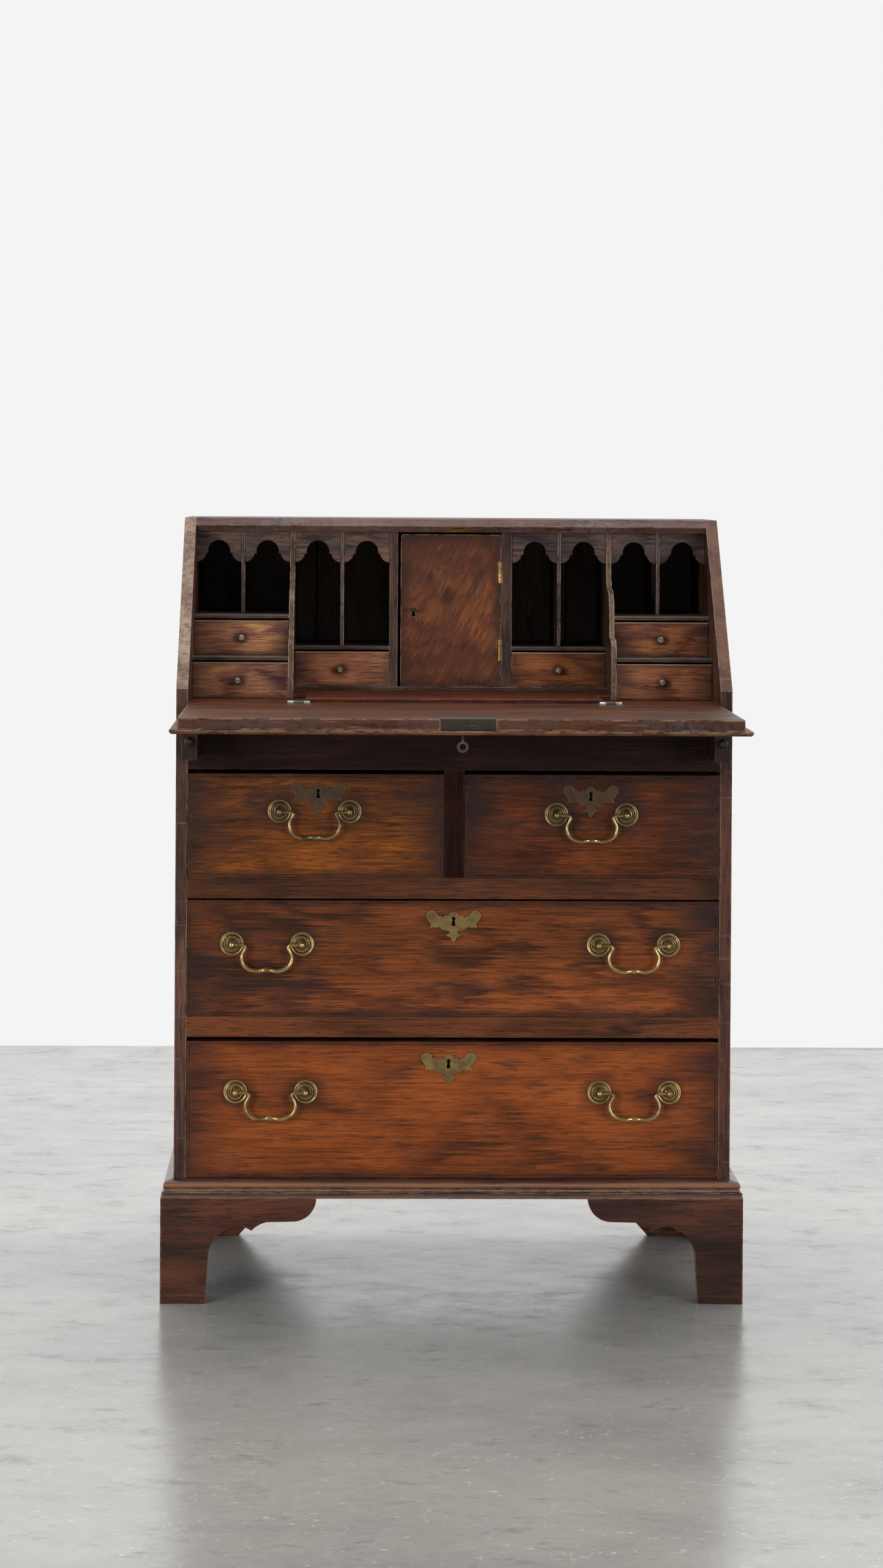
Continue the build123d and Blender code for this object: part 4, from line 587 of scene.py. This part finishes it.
# %% [markdown]
# ## Brass and steel
# The handles are cast brass, lacquered by time: a brown patina lies in every hollow, and fingers keep
# the high places bright. The keyhole plates are flat and never rubbed, so they are the darkest. The
# roses were turned in a lathe, and rings of light and dark are painted round each centre: patina in
# the grooves and painted reflection on the ridges.

# %% Metal finishes
PATINA = 70.0            # clouds of patina, 14 mm wide
PITS = 1000.0            # real casting pits are 0.2 mm wide, and are drawn at 1 mm so that they show
ARRIS = 0.0012           # how far in metres an arris reaches from its edge, rubbed bright and with a painted highlight
PIT_DEPTH = 0.0003       # metres
ROSE_RADIUS = 0.0152     # metres
# Shares of the rose's radius, and how bright it is there: two dark rings of patina and painted
# reflection between bright ones.
ROSE_PATINA_AND_REFLECTION_RINGS = ((0.26, 1.0), (0.32, 0.12), (0.43, 0.12), (0.5, 0.8), (0.66, 0.8), (0.72, 0.1), (0.8, 0.1),
              (0.86, 1.0))


def rings_of_patina_and_reflection(tree, place, roses):
    """The distance to the nearest rose's centre, in the plane of the front, and how bright its ring is:
    patina in the grooves and a painted reflection of the turned rings.
    """
    flat = add(tree, "VectorMath", place, (1, 0, 1), operation="MULTIPLY")
    reach = 1.0
    for x, _, z in roses:
        reach = add(tree, "Math", add(tree, "VectorMath", flat, (x, 0, z), operation="DISTANCE"), reach,
                    operation="MINIMUM")
    ramp = add(tree, "ValToRGB", add(tree, "Math", reach, 1 / ROSE_RADIUS, operation="MULTIPLY"))
    stops = ramp.node.color_ramp.elements
    stops[0].color, stops[1].color = (1, 1, 1, 1), (1, 1, 1, 1)
    for at, value in ROSE_PATINA_AND_REFLECTION_RINGS:
        stops.new(at).color = (value, value, value, 1)
    return reach, ramp


def old_metal(name, bright, dull, dark, rough, split=None, roses=(), plates=None, arrises=True):
    """Metal with a patina. split is a depth along Y with the two tones behind it. roses are centres round
    which rings of patina and painted reflection run, bright on the ridges, and plates the two tones of
    everything else. Its arrises are rubbed bright and given a painted highlight.
    A round bar has no arrises."""
    material, tree, shader, output = new_material(name)
    place = add(tree, "TexCoord").node.outputs["Object"]
    cloud = add(tree, "MapRange", add(tree, "TexNoise", place, PATINA, 3.0, 0.55), 0.38, 0.62)
    pits = add(tree, "TexNoise", place, PITS, 3.0, 0.6)
    colour = add(tree, "Mix", cloud, dull, bright, data_type="RGBA")
    if split:
        depth = add(tree, "SeparateXYZ", place).node.outputs["Y"]
        behind = add(tree, "Math", depth, split[0], operation="GREATER_THAN")
        other = add(tree, "Mix", cloud, split[2], split[1], data_type="RGBA")
        colour = add(tree, "Mix", behind, colour, other, data_type="RGBA")
    bare = add(tree, "MapRange", cloud, 0.0, 1.0, 0.6, 0.85)
    if roses:
        # Rings of patina and painted reflection round each rose's centre.
        reach, rings = rings_of_patina_and_reflection(tree, place, roses)
        colour = add(tree, "Mix", rings, dark, colour, data_type="RGBA")
        flat_plate = add(tree, "Math", reach, ROSE_RADIUS * 1.05, operation="GREATER_THAN")
        other = add(tree, "Mix", cloud, plates[1], plates[0], data_type="RGBA")
        colour = add(tree, "Mix", flat_plate, colour, other, data_type="RGBA")
        bare = add(tree, "Math", flat_plate, -0.3, bare, operation="MULTIPLY_ADD")
    hollow = add(tree, "AmbientOcclusion", None, 0.004, samples=4).node.outputs["AO"]
    dirt = add(tree, "Math", add(tree, "MapRange", hollow, 0.75, 0.25),
               add(tree, "MapRange", pits, 0.58, 0.75, 0.0, 0.3), operation="MAXIMUM")
    colour = add(tree, "Mix", dirt, colour, dark, data_type="RGBA")
    soft = None
    # Painted highlight, together with rubbed brass: the metal turns bright along its arrises.
    if arrises:
        soft = add(tree, "Bevel", ARRIS, samples=4)
        true = add(tree, "NewGeometry").node.outputs["Normal"]
        facing = add(tree, "VectorMath", soft, true, operation="DOT_PRODUCT")
        edge = add(tree, "MapRange", facing, 0.99, 0.8, 0.0, 0.8)
        colour = add(tree, "Mix", edge, colour, bright, data_type="RGBA")
    tree.links.new(colour, shader["Base Color"])
    tree.links.new(add(tree, "MapRange", cloud, 0.0, 1.0, rough + 0.12, rough - 0.04), shader["Roughness"])
    tree.links.new(add(tree, "Bump", 0.06, PIT_DEPTH, None, pits, soft), shader["Normal"])
    tree.links.new(bare, shader["Metallic"])
    return material


print("a rose is", round(2 * ROSE_RADIUS / MM, 1), "mm across")

# %% [markdown]
# Each set of metalwork gets its own tones: the brass of the upper drawers is browner than that of the
# lower ones, as in the photograph. Iron and steel differ from brass in colour and polish alone, because
# they are filed and worn in the same way, so they share its function.

# %% Handles, locks, hinges and keys
# Cast brass, turned and filed, long unpolished: gold on the ridges and brown between them. Each set has
# its bright and its dull tone, then the keyhole plate's two.
BRASS = {"top": (("#b59a68", "#6b5638"), ("#6b543e", "#453324")),
         "low": (("#ccae74", "#8c7040"), ("#a08850", "#6e5836"))}
for name in LARGE:
    tones, plates = BRASS["top" if name.startswith("top") else "low"]
    dress(old_metal("old_brass_" + name, *tones, "#2e241a", 0.26, roses=centres[name], plates=plates),
          name + "_brasses")
# Cast brass, filed round: a bail is smooth and shiny along its back, and dark where it meets its post.
BAIL_BRASS = {"top": old_metal("dark_cast_brass", "#b39a6c", "#5e4c38", "#1c140e", 0.24, arrises=False),
              "low": old_metal("old_cast_brass", "#cdb078", "#80683f", "#2c2016", 0.22, arrises=False)}
# Wrought iron, filed flat: dull and nearly black.
dress(old_metal("worn_iron_lock", "#54483f", "#382f2a", "#1c1613", 0.42), "door_lock", "fall_lock")
# Steel hinge leaves, filed bright and worn by the fall: cold and pale. The cupboard's fixed leaves share
# their node and lie further back, and they are brass.
BUTTS_BEHIND = 0.01      # the small butts start this far in front of the door's face
butts_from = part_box("cupboard_door")[0].y - BUTTS_BEHIND
dress(old_metal("worn_steel", "#c6c0b8", "#857d75", "#2a2420", 0.35,
                split=(butts_from, "#c69a4f", "#8f6a34")), "fixed_hinge_leaves")
# Cast brass, filed and never lacquered: the yellowest metal on the desk.
dress(old_metal("golden_butts", "#c69a4f", "#8f6a34", "#2a2014", 0.3), "door_hinge_leaves",
      "fall_strike_plate")
# Forged steel, oiled: dark grey with a soft shine.
dress(old_metal("dark_steel", "#5a5450", "#3b3633", "#1f1a18", 0.45), "fall_key", "door_key", "fall_bolt",
      "door_bolt", "fall_hinge_leaves")
print("metal finishes for", len(LARGE), "sets of brasses, the locks and the hinges")

# %% [markdown]
# ## Swan-neck bails
# A bail is cast in one piece and filed by hand: a thin neck that curls out of the post, an arm that
# swells on its way down, and a grip with a ringed knop in the middle. It is a tube along a line, so
# it is made as a surface of two parameters, one along the line and one round it. The line is given
# as shares of half the span and of the drop, from the post inwards, with the radius in millimetres.

# %% Bails
BAIL_LINE = (
    (0.985, 0.0, 1.58), (0.9, 0.0, 1.58), (0.89, 0.0, 2.2), (0.78, 0.0, 2.2),        # pin and collar
    (0.67, 0.01, 2.35), (0.608, 0.09, 2.4), (0.64, 0.22, 2.2), (0.7, 0.38, 2.1),     # neck
    (0.712, 0.55, 2.35), (0.66, 0.75, 2.6), (0.55, 0.9, 2.8), (0.4, 0.98, 2.9),      # arm
    (0.2, 0.99, 2.7), (0.185, 0.985, 3.1), (0.16, 0.98, 3.1), (0.145, 0.975, 2.6),   # ring
    (0.08, 0.965, 3.5), (0.0, 0.96, 3.7),                                            # half of the knop
)


def tube(name, line, sides=28, rows=240):
    """A tube along a line in the XZ plane. Between two points of the line the centre C(s) is the cubic that
    has their places and slopes, the radius r(s) runs straight, N is square to the line in its plane, and
    P(s, v) = C(s) + r(s) (N cos v + Y sin v). Its two ends are flat."""
    line = np.asarray(line)
    points, radii = line[:, :3], line[:, 3]
    reach = np.concatenate([[0], np.cumsum(np.linalg.norm(np.diff(points, axis=0), axis=1))])
    slopes = np.gradient(points, reach, axis=0)
    s = np.union1d(np.linspace(0, reach[-1], rows), reach)
    at = np.clip(np.searchsorted(reach, s, side="right") - 1, 0, len(points) - 2)
    span = (reach[at + 1] - reach[at])[:, None]
    t = (s - reach[at])[:, None] / span
    centre = ((1 + 2 * t) * (1 - t) ** 2 * points[at] + t * (1 - t) ** 2 * span * slopes[at]
              + t ** 2 * (3 - 2 * t) * points[at + 1] + t ** 2 * (t - 1) * span * slopes[at + 1])
    heading = np.gradient(centre, s, axis=0)
    heading /= np.linalg.norm(heading, axis=1, keepdims=True)
    sideways = np.array((0.0, 1.0, 0.0))
    square = np.cross(sideways, heading)
    v = np.linspace(0, 2 * np.pi, sides, endpoint=False)
    round_it = np.cos(v)[None, :, None] * square[:, None] + np.sin(v)[None, :, None] * sideways
    grid = centre[:, None] + np.interp(s, reach, radii)[:, None, None] * round_it
    ids = np.arange(grid.shape[0] * sides).reshape(-1, sides)
    after = np.roll(ids, -1, axis=1)
    quads = np.stack([ids[:-1], ids[1:], after[1:], after[:-1]], axis=-1).reshape(-1, 4)
    caps = [ids[0].tolist(), ids[-1][::-1].tolist()]
    mesh = bpy.data.meshes.new(name)
    mesh.from_pydata(grid.reshape(-1, 3).tolist(), [], quads.tolist() + caps)
    mesh.shade_smooth()
    made = bpy.data.objects.new(name, mesh)
    bpy.context.scene.collection.objects.link(made)
    return made


BAIL_HALF, BAIL_DROP = 0.0449, 0.0334    # metres that the shares of the line are taken of
BAIL_PIVOT = 0.0024                      # the pivots lie this far below the top of the bail's box
for node in [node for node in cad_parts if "_bail" in node]:
    low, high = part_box(node)
    x, y, z = (low.x + high.x) / 2, (low.y + high.y) / 2, high.z - BAIL_PIVOT
    half = [(share * BAIL_HALF, -drop * BAIL_DROP, radius * MM) for share, drop, radius in BAIL_LINE]
    line = [(x - dx, y, z + dz, radius) for dx, dz, radius in half]
    line += [(x + dx, y, z + dz, radius) for dx, dz, radius in half[-2::-1]]
    bail = tube("cast_" + node, line)
    bail.data.materials.append(BAIL_BRASS["top" if node.startswith("top") else "low"])
    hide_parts(node)
    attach(bail, node)
print("a bail has", len(bail.data.polygons), "faces; its pivot lies at z", round(z, 4))

# %% [markdown]
# ## Camera
# The photograph was taken from almost five metres away with a long lens, a little to the left of the
# middle and above the desk, so the lines of the sides hardly converge.

# %% Camera
CAMERA_PLACE = (-0.13375, -4.98930, 1.04286)
YAW, PITCH, ROLL = (math.radians(angle) for angle in (-1.339, 0.329, 0.343))
LENS, SENSOR = 88.586, 36.0      # focal length and height of the sensor in millimetres
SHIFT = -0.1759                  # the picture's middle lies this share of its height under the horizon
ahead = Vector((-math.sin(YAW), math.cos(YAW), 0)) * math.cos(PITCH) - Vector((0, 0, math.sin(PITCH)))
level = Vector((math.cos(YAW), math.sin(YAW), 0))
over = level.cross(ahead)
right = level * math.cos(ROLL) + over * math.sin(ROLL)
up = over * math.cos(ROLL) - level * math.sin(ROLL)
camera_data = bpy.data.cameras.new("camera")
camera_data.sensor_fit = "VERTICAL"
camera_data.sensor_height = SENSOR
camera_data.lens = LENS
camera_data.shift_y = SHIFT
camera = bpy.data.objects.new("camera", camera_data)
bpy.context.scene.collection.objects.link(camera)
camera.matrix_world = Matrix.Translation(CAMERA_PLACE) @ Matrix((right, up, -ahead)).transposed().to_4x4()
bpy.context.scene.camera = camera
print("camera looks along", [round(v, 4) for v in ahead])

# %% [markdown]
# ## Floor, room and lamps
# The room is a plain studio: a pale grey floor that meets a white wall two metres behind.
# The wall is drawn as the far part of the floor and the world's own colour, so that no panel stands
# in the way when the desk is seen from behind. For light and reflections the world is white behind
# the desk and overhead and darker in front, as in a hall with one white wall, and soft lamps stand
# to both sides of the camera.

# %% Floor
WALL_FOOT = 2.18         # metres behind the desk's front at which the floor meets the wall
SKIRTING_SHADOW = 0.03             # width in metres of the painted shadow under the skirting at the foot of the wall
FLOOR_REACH = 40         # metres from the middle to the floor's edge
corners = [(-1, -1), (1, -1), (1, 1), (-1, 1)]
floor_mesh = bpy.data.meshes.new("floor")
floor_mesh.from_pydata([(x * FLOOR_REACH, y * FLOOR_REACH, 0) for x, y in corners], [], [(0, 1, 2, 3)])
floor = bpy.data.objects.new("floor", floor_mesh)
bpy.context.scene.collection.objects.link(floor)
print("the wall begins", WALL_FOOT, "m behind")

# %% [markdown]
# The floor is poured concrete, smoothed and sealed: cloudy, scuffed and dull, with a faint shine that
# holds the desk's shadow. Its marks are noises one over another, from clouds half a metre wide down to
# grit, and the pale hairs are the thin lines along which a noise crosses its middle value.

# %% Floor's finish
WHITE_WALL = "#f4f4f4"
material, tree, shader, output = new_material("sealed_pale_floor")
place = add(tree, "TexCoord").node.outputs["Object"]
depth = add(tree, "SeparateXYZ", place).node.outputs["Y"]
clouds = streaks(tree, place, (1.6, 2.6, 8.0, 0.68))     # 400 mm and more wide
scuffs = streaks(tree, place, (11, 17, 8.0, 0.78))       # 60 mm
curls = streaks(tree, place, (13, 20, 3.0, 0.55))        # 50 mm
specks = streaks(tree, place, (40, 70, 6.0, 0.7))        # 14 mm
grit = add(tree, "TexNoise", place, 90.0, 3.0, 0.7)      # 11 mm: real grit is 2 mm, too fine to show
# Painted shade: the floor's tone darkens from the wall towards the camera.
tone = add(tree, "Mix", add(tree, "MapRange", depth, -1.6, 0.2), "#b4b2ac", "#bcbcb8", data_type="RGBA")
for marks, starts, full, most, mark_tone in ((clouds, 0.42, 0.64, 0.5, "#898b8b"),
                                             (scuffs, 0.55, 0.66, 0.6, "#747676"),
                                             (grit, 0.4, 0.7, 0.16, "#77736d"),
                                             (specks, 0.66, 0.72, 0.6, "#5e605f")):
    share = add(tree, "MapRange", marks, starts, full, 0.0, most)
    tone = add(tree, "Mix", share, tone, mark_tone, data_type="RGBA")
off_line = add(tree, "Math", add(tree, "Math", curls, 0.5, operation="SUBTRACT"), operation="ABSOLUTE")
hairs = add(tree, "Math", add(tree, "MapRange", off_line, 0.0, 0.012, 1.0, 0.0),
            add(tree, "MapRange", grit, 0.5, 0.58, 0.0, 0.8), operation="MULTIPLY")
tone = add(tree, "Mix", hairs, tone, "#dcdad2", data_type="RGBA")
# Painted shadow: a dark strip on the floor at the foot of the wall, stronger towards the right.
skirting_shadow = add(tree, "Math", add(tree, "Math", depth, WALL_FOOT - SKIRTING_SHADOW, operation="GREATER_THAN"),
            add(tree, "MapRange", add(tree, "SeparateXYZ", place), 0.0, 0.8, 0.0, 0.5), operation="MULTIPLY")
tone = add(tree, "Mix", skirting_shadow, tone, "#4e4c48", data_type="RGBA")
tree.links.new(tone, shader["Base Color"])
tree.links.new(add(tree, "MapRange", scuffs, 0.3, 0.7, 0.14, 0.34), shader["Roughness"])
rays = add(tree, "LightPath").node.outputs
seen = add(tree, "Math", rays["Is Camera Ray"], rays["Is Glossy Ray"], operation="MAXIMUM")
far = add(tree, "Math", add(tree, "Math", depth, WALL_FOOT, operation="GREATER_THAN"), seen,
          operation="MULTIPLY")
wall = add(tree, "Emission", WHITE_WALL, 1.0)
tree.links.new(add(tree, "MixShader", far, shader["Base Color"].node.outputs[0], wall), output)
floor_mesh.materials.append(material)
print("floor's finish:", len(tree.nodes), "nodes")

# %% [markdown]
# The world gives the wax and the brass something to reflect. It grows from dark in front to white
# behind, and to a half-lit ceiling. The camera sees it as a plain white wall instead.

# %% World
DARK_HALL, WALL_LIGHT, CEILING_LIGHT = 0.09, 1.15, 0.5
world = bpy.data.worlds.new("studio")
world.use_nodes = True
bpy.context.scene.world = world
tree = world.node_tree
tree.nodes.clear()
toward = add(tree, "SeparateXYZ", add(tree, "TexCoord")).node.outputs
behind = add(tree, "MapRange", toward["Y"], -0.1, 0.7, DARK_HALL, WALL_LIGHT)
above = add(tree, "MapRange", toward["Z"], 0.2, 0.9, DARK_HALL, CEILING_LIGHT)
dome = add(tree, "Math", behind, above, operation="MAXIMUM")
rays = add(tree, "LightPath").node.outputs
seen = add(tree, "Math", rays["Is Camera Ray"], rays["Is Transmission Ray"], operation="MAXIMUM")
shown = add(tree, "Mix", seen, dome, WHITE_WALL, data_type="RGBA")
add(tree, "OutputWorld", add(tree, "Background", shown, 1.0))
print("the world lights from", DARK_HALL, "to", WALL_LIGHT)

# %% [markdown]
# Three soft square lamps: two at the sides, the left one a little stronger, so that the drawers' beads
# and handles throw short soft shadows to the right, and a weak one overhead for the top.

# %% Lamps
# Place and aim in metres, width in metres, and power in watts.
LAMPS = {"left": ((-3.4, -4.4, 1.3), (0, 0, 0.5), 2.0, 120),
         "right": ((3.4, -4.4, 1.2), (0, 0, 0.5), 2.0, 100),
         "overhead": ((0, 0.5, 3.2), (0, 0.2, 0), 2.4, 40)}
for name, (place, aim, size, watts) in LAMPS.items():
    data = bpy.data.lights.new(name, "AREA")
    data.shape = "SQUARE"
    data.size = size
    data.energy = watts
    lamp = bpy.data.objects.new(name, data)
    bpy.context.scene.collection.objects.link(lamp)
    lamp.location = place
    lamp.rotation_euler = (Vector(aim) - Vector(place)).to_track_quat("-Z", "Y").to_euler()
bpy.context.scene.view_settings.view_transform = "Standard"
print(len(LAMPS), "lamps")
